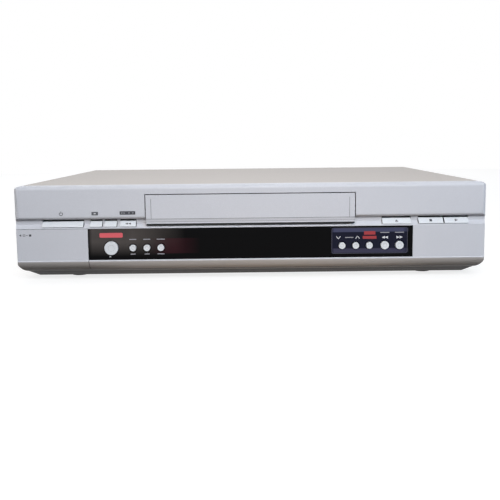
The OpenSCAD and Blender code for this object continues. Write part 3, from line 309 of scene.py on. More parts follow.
def lacquer(name, colour, sheen_metal, roughness, fleck):
    """Metallic lacquer over moulded plastic: fine flakes and faint clouding. Below the skirt's edge the colour
    turns warm as a painted reflection, then darkens downwards as painted shade, most of all towards the ends."""
    f = Finish(name, colour, sheen_metal, roughness, Specular_IOR_Level=0.15)
    deep = scaled(colour, 0.86)
    f.tint(f.stretch(f.cells(0.16, output="Color"), 0.62, 0.95), scaled(colour, 1.22))
    f.tint(f.stretch(f.noise(0.22, 1), 0.62, 0.86, 0, fleck), deep)
    f.tint(f.stretch(f.noise(38, 3), 0.35, 0.75, 0, 0.10), deep)
    # painted reflection: a warm tint on the skirt just below its edge, standing for a warm table mirrored
    # there
    f.tint(f.ramp("Z", 20.6, 19.6, 0, 0.5), scaled(colour, (0.76, 0.64, 0.48)))
    # painted shade: the skirt darker and warmer towards its foot, where it faces down
    f.tint(f.ramp("Z", 15, 10.5, 0, 0.75), scaled(colour, (0.42, 0.34, 0.26)))
    # painted shade: darker still towards both ends of the skirt
    ends = f.math("ADD", f.ramp("X", -105, -150, 0, 0.7), f.ramp("X", 115, 165, 0, 0.42))
    f.tint(f.math("MULTIPLY", ends, f.ramp("Z", 19.5, 12)), scaled(colour, (0.10, 0.08, 0.055)))
    f.vary_roughness(f.stretch(f.noise(9, 4), 0.3, 0.7), roughness - 0.03, roughness + 0.05)
    return f.relief(f.noise(0.35, 2), 0.006, 0.5).relief(f.noise(24, 2), 0.05, 0.25).material


def sheet_paint():
    """Warm grey stoved paint on folded sheet, with a fine pebbled grain and pale specks."""
    f = Finish("cover_paint", (0.49, 0.45, 0.425), 0.04, 0.62, Specular_IOR_Level=0.25)
    f.tint(f.stretch(f.noise(0.5, 2), 0.5, 0.75, 0, 0.5), (0.59, 0.56, 0.54))
    f.tint(f.stretch(f.cells(0.9), 0.32, 0.5, 0, 0.5), (0.40, 0.375, 0.358))
    f.tint(f.stretch(f.noise(60, 3), 0.3, 0.7, 0, 0.12), (0.43, 0.40, 0.38))
    f.vary_roughness(f.noise(3, 3), 0.52, 0.7)
    return f.relief(f.cells(0.9, "SMOOTH_F1"), 0.03, 0.55).relief(f.noise(0.35), 0.01, 0.5).material


def moulding(name, colour, roughness=0.55, grain=0.35, depth=0.012):
    """Grained moulded plastic: spark-eroded texture, slight clouding and dull patches."""
    f = Finish(name, colour, 0.0, roughness)
    f.tint(f.stretch(f.noise(grain * 1.6, 3), 0.4, 0.7, 0, 0.35), scaled(colour, 1.35, 0.004))
    f.tint(f.stretch(f.noise(30, 3), 0.4, 0.8, 0, 0.3), scaled(colour, 0.8))
    f.vary_roughness(f.noise(6, 4), roughness - 0.08, roughness + 0.1)
    return f.relief(f.noise(grain, 3, 0.6), depth, 0.8).material


def plated(name, colour, roughness, spangle=0.0, brush=None):
    """Plated or bare metal: crystal spangle as broad cells, or brush lines stretched along one axis."""
    f = Finish(name, colour, 1.0, roughness)
    if spangle:
        f.tint(f.stretch(f.cells(spangle, output="Color"), 0.25, 0.9, 0, 0.55), scaled(colour, 0.72))
        patches = f.stretch(f.cells(spangle * 0.7, output="Color"), 0.2, 0.8)
        f.vary_roughness(patches, roughness - 0.07, roughness + 0.1)
    else:
        f.vary_roughness(f.stretch(f.noise(5, 4), 0.3, 0.7), max(0.03, roughness - 0.05), roughness + 0.08)
    if brush is not None:
        lines = f.noise(0.12, 3, 0.6, f.stretched(brush))
        f.tint(f.stretch(lines, 0.35, 0.75, 0, 0.35), scaled(colour, 0.8))
        f.relief(lines, 0.004, 0.6)
    f.tint(f.stretch(f.noise(18, 3), 0.55, 0.85, 0, 0.3), scaled(colour, 0.85))
    return f.relief(f.noise(0.4, 2), 0.003, 0.4).material


def smoked_window():
    """Glossy black acrylic with painted reflections of the room: grey brown at the left, lighter upwards, and
    violet at the right, paler along the violet area's lower and upper edges. Faint red beside the grey brown."""
    f = Finish("black_window", (0.002, 0.002, 0.0024), 0.0, 0.07, Specular_IOR_Level=0.05)
    clouds = f.stretch(f.noise(26, 2), 0.2, 0.8, 0.6, 1)
    # painted reflection: the grey brown at the left, lighter upwards
    left_reflection = f.math("MULTIPLY", f.window((-147, -84), (21, 51), (2, 24)), clouds)
    f.tint(f.math("MULTIPLY", left_reflection, f.ramp("Z", 24.5, 38)), (0.088, 0.077, 0.073))
    f.tint(f.math("MULTIPLY", f.window((-84, -58), (27, 41), (10, 12)), 0.4), (0.06, 0.010, 0.018))
    # painted reflection: the violet at the right and its paler lower and upper bands
    f.tint(f.window((74, 143.6), (25, 48.6), (0.5, 0.5)), (0.011, 0.012, 0.026))
    f.tint(f.window((75.4, 142.4), (25.6, 29.6), (1, 3)), (0.046, 0.045, 0.080))
    f.tint(f.window((75.4, 142.4), (44.8, 48.2), (1, 3)), (0.060, 0.064, 0.118))
    f.vary_roughness(f.stretch(f.noise(14, 5), 0.5, 0.8), 0.05, 0.12)
    return f.relief(f.noise(40, 2), 0.02, 0.15).material


def lathe_turned(name, colour, roughness, centre, pitch=0.25):
    """Turned metal: fine rings round an upright axis, from the distance to it."""
    f = Finish(name, colour, 1.0, roughness)
    rings = f.node("TexWave", wave_type="RINGS", rings_direction="Z")
    rings.inputs["Scale"].default_value = 0.05 / (pitch * MM)
    rings.inputs["Distortion"].default_value = 0.4
    rings.inputs["Detail"].default_value = 2
    f.link(f.stretched(shift=(-centre[0] * MM, -(centre[1] + FASCIA_Y) * MM, 0)), rings.inputs["Vector"])
    f.tint(f.stretch(rings.outputs["Fac"], 0.2, 0.9, 0, 0.3), scaled(colour, 0.82))
    f.vary_roughness(f.noise(3, 3), roughness - 0.05, roughness + 0.08)
    return f.relief(rings.outputs["Fac"], 0.004, 0.6).material


def board_green():
    """Solder lacquer on a circuit board: pale tracks along the edges of stretched cells, and tinned spots."""
    f = Finish("circuit_board", (0.035, 0.13, 0.062), 0.0, 0.38)
    tracks = f.cells(6, "DISTANCE_TO_EDGE", coords=f.stretched((1, 0.28, 1)))
    copper = f.stretch(tracks, 0.10, 0.06)
    f.tint(copper, (0.07, 0.23, 0.10))
    f.tint(f.stretch(f.cells(3.1), 0.15, 0.11), (0.55, 0.55, 0.53))
    f.vary_roughness(f.noise(8, 3), 0.3, 0.5)
    return f.relief(copper, 0.03, 0.7).material


def soft_rubber(name, colour=(0.018, 0.018, 0.019)):
    """Matt rubber with a dusty bloom."""
    f = Finish(name, colour, 0.0, 0.8, Specular_IOR_Level=0.35)
    f.tint(f.stretch(f.noise(4, 4), 0.5, 0.8, 0, 0.5), scaled(colour, 1, 0.03))
    f.vary_roughness(f.noise(2, 3), 0.7, 0.92)
    return f.relief(f.noise(0.5, 3), 0.02, 0.6).material


def ink(name, colour, roughness=0.45):
    """Screen-printed ink with a slightly uneven edge of gloss."""
    f = Finish(name, colour, 0.0, roughness)
    f.tint(f.stretch(f.noise(0.5, 3), 0.45, 0.8, 0, 0.3), scaled(colour, 1.2, 0.01))
    f.vary_roughness(f.noise(1.5, 2), roughness - 0.08, roughness + 0.08)
    return f.relief(f.noise(0.3, 2), 0.004, 0.5).material


def tube_glass():
    """Dark display glass over a fine mesh: thin upright lines behind a smooth face."""
    f = Finish("tube_glass", (0.02, 0.05, 0.05), 0.0, 0.08, Coat_Weight=0.6, Coat_Roughness=0.04)
    lines = f.node("TexWave", wave_type="BANDS", bands_direction="X")
    lines.inputs["Scale"].default_value = 300
    f.link(f.coords, lines.inputs["Vector"])
    f.tint(f.stretch(lines.outputs["Fac"], 0.3, 0.8, 0, 0.6), (0.09, 0.14, 0.13))
    f.vary_roughness(f.noise(4, 3), 0.05, 0.14)
    return f.relief(f.noise(1.2, 2), 0.004, 0.2).material


SILVER = lacquer("silver_lacquer", (0.565, 0.575, 0.62), 0.02, 0.44, 0.45)
BRIGHT = lacquer("key_lacquer", (0.66, 0.685, 0.72), 0.1, 0.34, 0.2)
COVER = sheet_paint()
WINDOW = smoked_window()
GLASS = tube_glass()
BOARD = board_green()

KEY_RING = moulding("key_ring", (0.44, 0.45, 0.47), 0.4, 0.3, 0.004)
DARK = moulding("dark_moulding", (0.062, 0.057, 0.056), 0.52)
INNER = moulding("unpainted_moulding", (0.016, 0.016, 0.017), 0.6)
SOCKET = moulding("socket_moulding", (0.022, 0.022, 0.024), 0.42, 0.3)
CHIP = moulding("chip_moulding", (0.028, 0.028, 0.03), 0.5, 0.15, 0.006)
NYLON = moulding("white_nylon", (0.74, 0.72, 0.66), 0.42, 0.5, 0.004)
BLUE_NYLON = moulding("blue_nylon", (0.10, 0.20, 0.36), 0.42, 0.5, 0.004)
AMBER = moulding("winding_tape", (0.62, 0.42, 0.07), 0.35, 0.6, 0.01)
SLEEVE = moulding("capacitor_sleeve", (0.02, 0.03, 0.07), 0.28, 0.6, 0.004)
YELLOW = moulding("yellow_insulator", (0.78, 0.55, 0.03), 0.35, 0.4, 0.004)
CREAM = moulding("white_insulator", (0.75, 0.75, 0.72), 0.35, 0.4, 0.004)
SCARLET = moulding("red_insulator", (0.55, 0.02, 0.02), 0.35, 0.4, 0.004)

ZINC = plated("zinc_steel", (0.37, 0.38, 0.39), 0.44, spangle=7)
TIN = plated("tin_plate", (0.55, 0.55, 0.54), 0.3, spangle=3)
NICKEL = plated("nickel_sleeve", (0.66, 0.65, 0.61), 0.2, brush=(1, 0.04, 1))
SCREW = plated("screw_steel", (0.42, 0.42, 0.43), 0.3)
POLISHED = plated("polished_steel", (0.72, 0.72, 0.73), 0.12, brush=(1, 1, 0.03))
SPRING = plated("spring_steel", (0.5, 0.5, 0.51), 0.25)
ALUMINIUM = plated("drawn_aluminium", (0.76, 0.77, 0.78), 0.3, brush=(1, 1, 0.05))
DRUM = lathe_turned("drum_aluminium", (0.78, 0.79, 0.80), 0.2, (0, 197))

RUBBER = soft_rubber("black_rubber")
FOOT = soft_rubber("foot_rubber", (0.014, 0.014, 0.015))
# painted shade: a black strip standing for the shade in the gap under the cassette flap
GAP_SHADE_STRIP = soft_rubber("black_felt", (0.008, 0.008, 0.009))

DARK_INK = ink("dark_ink", (0.035, 0.036, 0.045))
GREY_INK = ink("grey_ink", (0.085, 0.088, 0.10))
WHITE_INK = ink("white_ink", (0.66, 0.67, 0.70), 0.5)
DIM_INK = ink("dim_ink", (0.26, 0.26, 0.29), 0.5)
FAINT_INK = ink("faint_ink", (0.06, 0.06, 0.085), 0.5)
# painted shade: dark lines standing for the shade in the flap's grooves and under its step
GROOVE_SHADE_INK = ink("line_shade", (0.13, 0.135, 0.15), 0.6)
RED_INK = ink("red_ink", (0.29, 0.02, 0.026))
PILL_INK = ink("pink_ink", (0.62, 0.10, 0.12))


# ---------------------------------------------------------------- the solids, dressed

FAR = 1e3  # millimetres, past every face of the recorder
BAR_KEYS = ["power", "display", "speed", "pause", "eject", "stop", "play"]
ROUND_KEYS = ["timer", "menu", "set", "clear", "channel_down", "channel_up", "record", "rewind", "forward"]
REAR_PHONO = [(x, z) for z in (40, 54) for x in (-48, -34, -20)]
FRONT_PHONO = [(x, 35) for x in (-196.7, -179.7, -162.7)]
AERIALS = [(132, 34), (160, 34)]
# the front panel's section: how far back its skin lies at each height
SKIN_Z = [9.4, 11.7, 20, 20.5, 21.1, 51, 54.5, 58.5, 60, 62, 86, 90]
SKIN_Y = [14, 7, 1.4, 1.4, 2, 2, 5, 5, 2.6, 0, 0, 4]


def merged_copy(name):
    """A node's loose triangles with their doubles merged and flat areas joined up again."""
    mesh = solids[name].data.copy()
    shell = bmesh.new()
    shell.from_mesh(mesh)
    bmesh.ops.remove_doubles(shell, verts=shell.verts, dist=2e-6)
    bmesh.ops.dissolve_limit(shell, angle_limit=math.radians(0.6), use_dissolve_boundaries=False,
                             verts=shell.verts, edges=shell.edges)
    shell.to_mesh(mesh)
    shell.free()
    return mesh


def face_centres(mesh):
    """Centres in millimetres, y from the fascia, and unit normals, as whole arrays."""
    centres, normals = np.zeros(len(mesh.polygons) * 3), np.zeros(len(mesh.polygons) * 3)
    mesh.polygons.foreach_get("center", centres)
    mesh.polygons.foreach_get("normal", normals)
    centres = centres.reshape(-1, 3) / MM - (0, FASCIA_Y, 0)
    return centres, normals.reshape(-1, 3)


def dress(name, finish, edge=0.0, angle=30, layers=()):
    """Stands for a node: its own shape, smooth across soft edges, with the sharp ones, those over angle
    degrees, rounded by edge mm. layers are pairs of a finish and a rule that picks faces from their centres
    and normals; a later layer covers an earlier one."""
    mesh = merged_copy(name)
    mesh.name = name + "_dressed"
    mesh.materials.clear()
    mesh.materials.append(finish)
    centres, normals = face_centres(mesh)
    index = np.zeros(len(mesh.polygons), np.int32)
    for number, (other, rule) in enumerate(layers, 1):
        mesh.materials.append(other)
        index[rule(centres, normals)] = number
    mesh.polygons.foreach_set("material_index", index)
    mesh.polygons.foreach_set("use_smooth", np.ones(len(mesh.polygons), bool))
    mesh.set_sharp_from_angle(angle=math.radians(angle))
    piece = bpy.data.objects.new(name + "_dressed", mesh)
    bpy.context.collection.objects.link(piece)
    if edge:
        bevel = piece.modifiers.new("edge", "BEVEL")
        bevel.width, bevel.segments = edge * MM, 2
        bevel.limit_method, bevel.angle_limit = "ANGLE", math.radians(angle)
        bevel.harden_normals = True
        bevel.use_clamp_overlap = True
        piece.modifiers.new("flat_faces", "WEIGHTED_NORMAL").keep_sharp = True
    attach(piece, BODY_OF[name])
    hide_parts(name)


def inside(x=(-FAR, FAR), y=(-FAR, FAR), z=(-FAR, FAR)):
    """Rule: faces whose centre lies in a box."""
    return lambda c, n: ((c[:, 0] > x[0]) & (c[:, 0] < x[1]) & (c[:, 1] > y[0]) & (c[:, 1] < y[1])
                         & (c[:, 2] > z[0]) & (c[:, 2] < z[1]))


def near_axes(places, reach, y=(-FAR, FAR)):
    """Rule: faces within reach mm of any of the axes that run along y through these x and z."""
    spots = np.array(places, float)

    def rule(c, n):
        away = np.hypot(c[:, None, 0] - spots[None, :, 0], c[:, None, 2] - spots[None, :, 1]).min(1)
        return (away < reach) & (c[:, 1] > y[0]) & (c[:, 1] < y[1])
    return rule


def top_of(rule):
    """Rule: those faces of another rule that look upwards."""
    return lambda c, n: rule(c, n) & (n[:, 2] > 0.9)


def unpainted_and_gap_shade(c, n):
    """Rule: faces that the lacquer spray doesn't reach, which face inwards or lie deep behind the skin, and
    faces that stand in a narrow gap, made dark as painted shade. The panel's outer ends and upper corners are
    lacquered all the same."""
    x, y, z = np.abs(c[:, 0]), c[:, 1], c[:, 2]
    sideways, upwards = np.abs(n[:, 0]) > 0.9, np.abs(n[:, 2]) > 0.9
    lacquered = (x > 205) & (n[:, 0] * c[:, 0] > 0) & (np.abs(n[:, 0]) > 0.15) & (y < 14)
    lacquered |= np.hypot(np.maximum(x - 209, 0), np.maximum(z - 84, 0)) > 5.6
    deep = (y > np.interp(z, SKIN_Z, SKIN_Y) + 0.9) & (z < 88.6)
    inwards = (n[:, 1] > 0.3) & (z < 89)
    # painted shade on the faces in narrow gaps: beside the cassette flap, beside the jack door, then above and
    # below the flap
    gap = (x > 94.8) & (x < 96.2) & sideways & (z > 53) & (z < 82.5)
    gap |= (np.abs(c[:, 0] + 148.75) < 0.5) & sideways & (z < 51)
    gap |= (x < 96.2) & upwards & ((np.abs(z - 81.4) < 0.7) | (np.abs(z - 53.5) < 0.7)) & (y > 0.6)
    return (deep | gap | inwards) & ~lacquered


def dress_all():
    """Every solid with its finish and rounding, then those that carry more than one finish. The tables list a
    slot name beside each finish.
    """
    dress("front_panel", SILVER, 0.22, layers=[(INNER, unpainted_and_gap_shade)])
    dress("cassette_flap", SILVER, 0.12, angle=8, layers=[(INNER, unpainted_and_gap_shade)])
    dress("jack_door", SILVER, 0.22, layers=[(INNER, unpainted_and_gap_shade)])
    plain = [
        ("top_cover", "cover_paint", COVER, 0.2),
        ("chassis_frame", "dark_plastic", DARK, 0.3), ("bottom_plate", "zinc_steel", ZINC, 0.1),
        ("rear_panel", "zinc_steel", ZINC, 0.12), ("feet", "foot_rubber", FOOT, 0.3),
        ("cover_screws", "screw_steel", SCREW, 0.0), ("display_window", "black_window", WINDOW, 0.15),
        ("power_inlet", "socket_black", SOCKET, 0.25), ("main_board", "circuit_board", BOARD, 0.0),
        ("front_board", "circuit_board", BOARD, 0.0), ("display_tube", "tube_glass", GLASS, 0.3),
        ("deck_plate", "zinc_steel", ZINC, 0.1), ("drum_base", "drum_aluminium", DRUM, 0.15),
        ("drum_rotor", "drum_aluminium", DRUM, 0.15), ("capstan_stator", "circuit_board", BOARD, 0.0),
        ("capstan_rotor", "polished_steel", POLISHED, 0.1), ("clutch_pulley", "white_nylon", NYLON, 0.0),
        ("drive_belt", "black_rubber", RUBBER, 0.0), ("takeup_arm", "white_nylon", NYLON, 0.1),
        ("supply_arm", "white_nylon", NYLON, 0.1), ("cam_gear", "blue_nylon", BLUE_NYLON, 0.0),
        ("motor_pinion", "white_nylon", NYLON, 0.0), ("loading_motor", "tin_plate", TIN, 0.2),
        ("supply_reel", "white_nylon", NYLON, 0.1), ("takeup_reel", "white_nylon", NYLON, 0.1),
        ("idler_arm", "zinc_steel", ZINC, 0.1), ("idler_wheel", "black_rubber", RUBBER, 0.1),
        ("pinch_arm", "zinc_steel", ZINC, 0.1), ("pinch_roller", "black_rubber", RUBBER, 0.2),
        ("tension_arm", "zinc_steel", ZINC, 0.1), ("guide_posts", "polished_steel", POLISHED, 0.1),
        ("tape_heads", "polished_steel", POLISHED, 0.15), ("cassette_holder", "zinc_steel", ZINC, 0.1),
        ("loader_carriage", "zinc_steel", ZINC, 0.1), ("loader_frame", "zinc_steel", ZINC, 0.1),
        ("flap_spring", "spring_steel", SPRING, 0.0),
    ]
    for name, slot, finish, edge in plain:
        dress(name, finish, edge)
    for key in BAR_KEYS + ROUND_KEYS:
        # faces behind y 5.3 mm take the unpainted moulding; their darkness is also painted shade for the slot
        # behind the key
        dress("key_" + key, BRIGHT, 0.2, layers=[(INNER, inside(y=(5.3, FAR)))])
    for name, slot, finish, edge, sleeves in (
            ("rear_jacks", "socket_black", SOCKET, 0.12, near_axes(REAR_PHONO, 4.3, (278.5, FAR))),
            ("front_jacks", "socket_black", SOCKET, 0.12, near_axes(FRONT_PHONO, 4.4, (-FAR, 22))),
            ("tuner_box", "tin_plate", TIN, 0.15, near_axes(AERIALS, 4.9, (279, FAR)))):
        dress(name, finish, edge, layers=[(NICKEL, sleeves)])

    above = (13.7, 60)  # from the main board's upper face to past its tallest part
    cans = inside((119, 186), (53, 101), above)
    dress("board_parts", CHIP, 0.0, layers=[
        (SLEEVE, cans), (ALUMINIUM, top_of(cans)),
        (ALUMINIUM, inside((140, 192), (195, 225), (13, 45))),
        (TIN, inside((-90, -34), (210, 240), (20, 45)))])
    tall_can = inside((-200, -130), (121, 139), above)
    dress("power_supply", CHIP, 0.0, layers=[
        (BOARD, inside(z=(11, 13.7))), (SPRING, inside((-180, -138), (169.9, 204.1), above)),
        (AMBER, inside((-180, -138), (178.1, 195.9), above)),
        (SLEEVE, tall_can), (ALUMINIUM, top_of(tall_can)),
        (ALUMINIUM, inside((-180, -128), (210, 245), above)),
        (YELLOW, inside((-200, -180.5), (210, 245), above))])


# ---------------------------------------------------------------- new pieces

UPRIGHT = (0, 0, 1)
PRINT = 0.03  # how far a printed mark stands out, in millimetres
WINDOW_FACE = 2.0
ROUND_KEY_Z = 32.3


def place(points):
    """Millimetres, y from the fascia, made into metres of the row frame."""
    return (np.asarray(points, float) + (0, FASCIA_Y, 0)) * MM


def shape(name, points, faces, finish, body, smooth=False):
    """Puts points and faces into a mesh object at the origin, with its faces turned outwards."""
    mesh = bpy.data.meshes.new(name)
    mesh.from_pydata(place(points).tolist(), [], [list(f) for f in faces])
    shell = bmesh.new()
    shell.from_mesh(mesh)
    bmesh.ops.remove_doubles(shell, verts=shell.verts, dist=1e-7)
    bmesh.ops.recalc_face_normals(shell, faces=shell.faces)
    shell.to_mesh(mesh)
    shell.free()
    mesh.materials.append(finish)
    if smooth:
        mesh.polygons.foreach_set("use_smooth", np.ones(len(mesh.polygons), bool))
        mesh.set_sharp_from_angle(angle=math.radians(40))
    piece = bpy.data.objects.new(name, mesh)
    bpy.context.collection.objects.link(piece)
    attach(piece, body)


def grid_faces(rows, columns, wrap_rows=False, wrap_columns=False):
    """Quads of a grid of points numbered row by row."""
    i = np.arange(rows if wrap_rows else rows - 1)[:, None]
    j = np.arange(columns if wrap_columns else columns - 1)[None, :]
    a, b = i * columns + j, i * columns + (j + 1) % columns
    c, d = (i + 1) % rows * columns + (j + 1) % columns, (i + 1) % rows * columns + j
    return np.stack([a, b, c, d], -1).reshape(-1, 4)


def decal(name, outlines, origin, up, finish, body, thick=PRINT):
    """Printed marks: each outline, drawn in u and v, stands thick mm out of a plane through origin.
    A point is origin + u along x + v along up, and those of the outer ring stand thick further out, along the
    plane's normal."""
    up = np.array(up, float) / np.linalg.norm(up)
    out = np.cross((1, 0, 0), up)
    points, faces, start = [], [], 0
    for outline in outlines:
        flat = np.array(outline, float)
        base = np.array(origin, float) + flat[:, :1] * (1, 0, 0) + flat[:, 1:] * up
        points += [base, base + out * thick]
        n = len(flat)
        ring = np.arange(n)
        faces += (start + np.stack([ring, (ring + 1) % n, (ring + 1) % n + n, ring + n], 1)).tolist()
        faces += [(start + ring[::-1]).tolist(), (start + ring + n).tolist()]
        start += 2 * n
    shape(name, np.concatenate(points), faces, finish, body)


def lathe(name, profile, centre, steps, finish, body):
    """A profile of radius and depth carried round an axis along y: x = r cos a, z = r sin a, y = depth."""
    profile = np.array(profile, float)
    a = np.linspace(0, 2 * math.pi, steps, endpoint=False)[:, None]
    r, deep = profile[None, :, 0], profile[None, :, 1]
    points = np.stack([centre[0] + r * np.cos(a), centre[1] + deep + 0 * a, centre[2] + r * np.sin(a)], -1)
    shape(name, points.reshape(-1, 3), grid_faces(steps, len(profile), True, True), finish, body, True)


def tube(name, path, radius, finish, body, sides=10):
    """A round section carried along an open path: each ring lies square to the path's direction there."""
    path = np.array(path, float)
    ahead = np.gradient(path, axis=0)
    ahead /= np.linalg.norm(ahead, axis=1)[:, None]
    guide = np.where(np.abs(ahead[:, 2:]) < 0.9, np.array([[0, 0, 1.0]]), np.array([[1.0, 0, 0]]))
    across = np.cross(ahead, guide)
    across /= np.linalg.norm(across, axis=1)[:, None]
    over = np.cross(across, ahead)
    a = np.linspace(0, 2 * math.pi, sides, endpoint=False)[None, :, None]
    points = path[:, None] + radius * (np.cos(a) * across[:, None] + np.sin(a) * over[:, None])
    faces = grid_faces(len(path), sides, False, True).tolist()
    faces += [list(range(sides))[::-1], list(range((len(path) - 1) * sides, len(path) * sides))]
    shape(name, points.reshape(-1, 3), faces, finish, body, True)


def box_outline(x0, x1, z0, z1, r=0.0, steps=6):
    """A rectangle with corners of radius r, each corner an arc of equal steps."""
    if r <= 0:
        return [(x0, z0), (x1, z0), (x1, z1), (x0, z1)]
    quarter = math.pi / 2
    a = np.linspace(0, quarter, steps)
    corners = [(x1 - r, z0 + r, -quarter), (x1 - r, z1 - r, 0),
               (x0 + r, z1 - r, quarter), (x0 + r, z0 + r, math.pi)]
    return np.concatenate([np.stack([x + r * np.cos(a + turn), z + r * np.sin(a + turn)], 1)
                           for x, z, turn in corners])


def triangle(x, z, w, h, to="right"):
    """A solid triangle that points right, left or up, centred on x and z."""
    if to == "up":
        return [(x - w / 2, z - h / 2), (x + w / 2, z - h / 2), (x, z + h / 2)]
    s = 1 if to == "right" else -1
    return [(x - s * w / 2, z - h / 2), (x + s * w / 2, z), (x - s * w / 2, z + h / 2)][::s]


def stroke(points, width):
    """A bent line of even width: each point moved half a width to either side along its bisector."""
    p = np.array(points, float)
    d = np.gradient(p, axis=0)
    d /= np.linalg.norm(d, axis=1)[:, None]
    side = np.stack([-d[:, 1], d[:, 0]], 1) * width / 2
    return np.concatenate([p - side, (p + side)[::-1]])


def arc_stroke(x, z, r, from_angle, to_angle, width, steps=24):
    """Part of a ring of radius r round x and z, between two angles in degrees."""
    a = np.radians(np.linspace(from_angle, to_angle, steps))
    ring = np.stack([np.cos(a), np.sin(a)], 1)
    return np.concatenate([(x, z) + ring * (r + width / 2), ((x, z) + ring * (r - width / 2))[::-1]])


def mark_keys():
    """Generic transport symbols on the sloped faces of the bar keys."""
    def on_key(key, x, outlines):
        decal("mark_" + key, outlines, (x, 3.1, 54.7), (0, 3.2, 4.4), DARK_INK, "key_" + key)
    on_key("eject", 133.55, [triangle(0, 0.35, 2.8, 1.7, "up"), box_outline(-1.4, 1.4, -1.35, -0.85)])
    on_key("stop", 164.9, [box_outline(-1.2, 1.2, -1.2, 1.2)])
    on_key("play", 188.3, [triangle(0.1, 0, 2.9, 2.7)])
    on_key("pause", -112, [triangle(-1.35, 0, 2.6, 1.9, "left"), triangle(1.35, 0, 2.6, 1.9, "left")])


def mark_fascia():
    """Small generic marks: above the bar keys on the flat of the upper face, and on the jack door."""
    def printed(name, outlines, finish=DARK_INK, y=0.0, body="case", thick=PRINT):
        decal(name, outlines, (0, y, 0), UPRIGHT, finish, body, thick)
    over = {"y": -PRINT, "thick": 0.02}  # pale print on top of dark print
    printed("mark_power", [arc_stroke(-172, 64.6, 1.5, 125, 415, 0.55),
                           box_outline(-172.28, -171.72, 64.7, 66.9)])
    printed("mark_display_box", [box_outline(-144.3, -138.3, 63, 66.2, 0.4)], GREY_INK)
    printed("mark_display_dot", [box_outline(-142.2, -140.4, 64.2, 65.0, 0.2)], WHITE_INK, **over)
    printed("mark_pause_bar", [box_outline(-118.7, -104.5, 63.3, 66.5, 0.3)])
    dots = [box_outline(x, x + 0.7, 64.6, 65.2) for x in (-117.0, -115.0, -110.6, -106.9)]
    printed("mark_pause_dots", dots, WHITE_INK, **over)
    hollow_square = [box_outline(-208.2, -207.8, 44, 45.8), box_outline(-206.4, -206, 44, 45.8),
                     box_outline(-207.8, -206.4, 45.4, 45.8), box_outline(-207.8, -206.4, 44, 44.4)]
    printed("mark_jack_door",
            [triangle(-210.7, 44.9, 2.0, 2.1, "left"), *hollow_square,
             box_outline(-205.2, -203.8, 44.65, 45.15), box_outline(-202.6, -200.5, 43.9, 45.9)],
            y=2, body="jack_door")


def mark_window():
    """Print on the window: a pill, two red tabs, chevrons, winding arrows, plain ticks, and a thin frame made
    of four rings, outer and inner at two depths; and a white painted highlight below the timer key."""
    def printed(name, outlines, finish):
        decal(name, outlines, (0, WINDOW_FACE, 0), UPRIGHT, finish, "case")
    printed("print_pill", [box_outline(-138.2, -116.9, 42.1, 46.4, 1.2)], PILL_INK)
    printed("print_tabs", [box_outline(103.8, 114.1, 42.2, 45.4, 0.3),
                           box_outline(102.6, 115.2, 38.3, 41, 0.3)], RED_INK)
    printed("print_chevrons", [stroke([(78.4, 40.9), (80.3, 38.7), (82.2, 40.9)], 0.62),
                               stroke([(96.0, 38.7), (97.9, 40.9), (99.8, 38.7)], 0.62)], WHITE_INK)
    arrows = ((121.4, "left"), (124.3, "left"), (134.9, "right"), (137.8, "right"))
    printed("print_winding", [triangle(x, 39.6, 2.9, 2.6, to) for x, to in arrows], WHITE_INK)
    printed("print_ticks", [box_outline(x - width / 2, x + width / 2, z - 0.42, z + 0.42) for x, z, width in
                            ((-107.9, 40.2, 6.4), (-95.1, 40.2, 6.4), (-82.3, 40.2, 7.4),
                             (-107.9, 26.6, 4.6), (-95.1, 26.6, 4.6), (-82.3, 26.6, 6.4),
                             (122.8, 44.1, 8.2), (136.3, 44.1, 8.2), (90.2, 39.8, 7.6))], DIM_INK)
    # painted highlight: a small white glint below the timer key
    printed("print_timer_glint", [triangle(-128.9, 24.6, 2.2, 1.1, "up")], WHITE_INK)
    outer, inner = box_outline(74.2, 143.6, 24.9, 48.7, 2.0), box_outline(74.5, 143.3, 25.2, 48.4, 1.7)
    back, front = WINDOW_FACE, WINDOW_FACE - PRINT
    rings = [np.stack([line[:, 0], np.full(len(line), y), line[:, 1]], 1)
             for line, y in ((outer, back), (outer, front), (inner, front), (inner, back))]
    faces = grid_faces(len(rings), len(outer), True, True)
    shape("print_frame", np.concatenate(rings), faces, FAINT_INK, "case")


def ring_round_keys():
    """A fine moulded ring in the dished face of each round key. The dish is part of a ball, whose radius is
    five times the key's. Its depth at the ring is 1.25 mm, less the ball's radius, plus the square root of the
    ball's radius squared less the ring's radius squared."""
    for key, x, r in (("timer", -127.7, 6.2), ("menu", -107.9, 3), ("set", -95.1, 3), ("clear", -82.3, 3),
                      ("channel_down", 83.7, 3), ("channel_up", 96.2, 3), ("record", 108.7, 3),
                      ("rewind", 122.8, 3.7), ("forward", 136.3, 3.7)):
        ring, ball = 0.46 * r, 5 * r
        depth = 1.25 - ball + math.sqrt(ball * ball - ring * ring)
        foot, crest = depth + 0.1, depth - 0.04
        profile = [(ring - 0.16, foot), (ring - 0.12, crest), (ring + 0.12, crest), (ring + 0.16, foot)]
        lathe("ring_" + key, profile, (x, 0, ROUND_KEY_Z), 40, KEY_RING, "key_" + key)


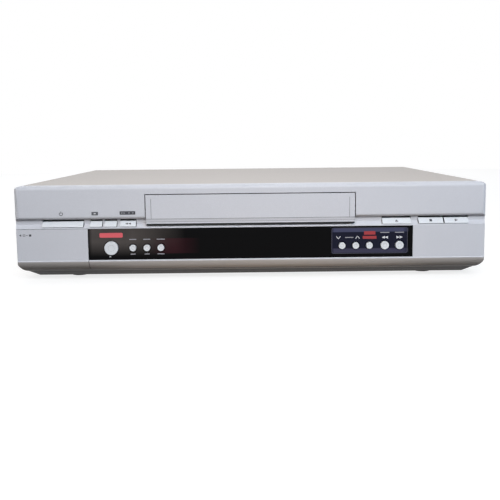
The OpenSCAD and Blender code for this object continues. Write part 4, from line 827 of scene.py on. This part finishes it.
def wire_boards():
    """Three supply wires at the back, from end to end as t goes from -1 to 1: x runs straight, z rises as one
    minus the eighth power of t, and y waves a little as a sine of nine t."""
    t = np.linspace(-1, 1, 60)
    for i, finish in enumerate((SCARLET, RUBBER, CREAM)):
        path = np.stack([119 * t, 254 + 1.75 * i + 0.7 * np.sin(9 * t + i), 14 + 8 * (1 - t ** 8)], 1)
        tube("supply_wire_%d" % i, path, 0.75, finish, "case")


def paint_flap_shade():
    """Dark lines of painted shade in the flap's grooves and along its step, and a black strip of painted shade
    in the gap at its lower edge: a six-point section carried straight along x."""
    def shade_lines(name, outlines, y):
        decal(name, outlines, (0, y, 0), UPRIGHT, GROOVE_SHADE_INK, "cassette_flap", 0.02)
    shade_lines("flap_lines", [box_outline(-94.9, 94.9, 58.85, 59.15), box_outline(-90.35, -90.05, 59.2, 77.4),
                             box_outline(90.05, 90.35, 59.2, 77.4)], 0.14)
    shade_lines("flap_step_line", [box_outline(-94.9, 94.9, 56.2, 56.45)], 0.5)
    # the black strip that stands for the shade in the gap under the flap
    section = np.array([(0.38, 54.7), (0.34, 54.1), (0.5, 53.45), (1.6, 53.35), (2.45, 53.5), (2.5, 54.6)])
    steps, corners = 40, len(section)
    across = np.repeat(np.linspace(-94.6, 94.6, steps), corners)
    points = np.column_stack([across, np.tile(section, (steps, 1))])
    ends = [list(range(corners)), list(range((steps - 1) * corners, steps * corners))[::-1]]
    faces = grid_faces(steps, corners, False, True).tolist() + ends
    shape("flap_felt", points, faces, GAP_SHADE_STRIP, "cassette_flap", True)


def ring_jacks():
    """Coloured insulator rings round the phono sockets, each a profile of radius and depth turned round."""
    bore = 4.25
    rear = [(bore, 280.0), (6.1, 280.0), (6.1, 280.7), (5.7, 281.1), (bore, 281.1)]
    front = [(bore, 22.0), (5.0, 22.0), (5.0, 21.2), (4.7, 20.9), (bore, 20.9)]
    for where, places, profile in (("rear", REAR_PHONO, rear), ("front", FRONT_PHONO, front)):
        for i, (x, z) in enumerate(places):
            lathe("%s_ring_%d" % (where, i), profile, (x, 0, z), 40, (YELLOW, CREAM, SCARLET)[i % 3],
                  "case")


bpy.context.scene.view_settings.view_transform = "Standard"
aim_camera()
build_world()
build_floor()
hang_lamps()
dress_all()
mark_keys()
mark_fascia()
mark_window()
paint_flap_shade()
wire_boards()
ring_round_keys()
ring_jacks()
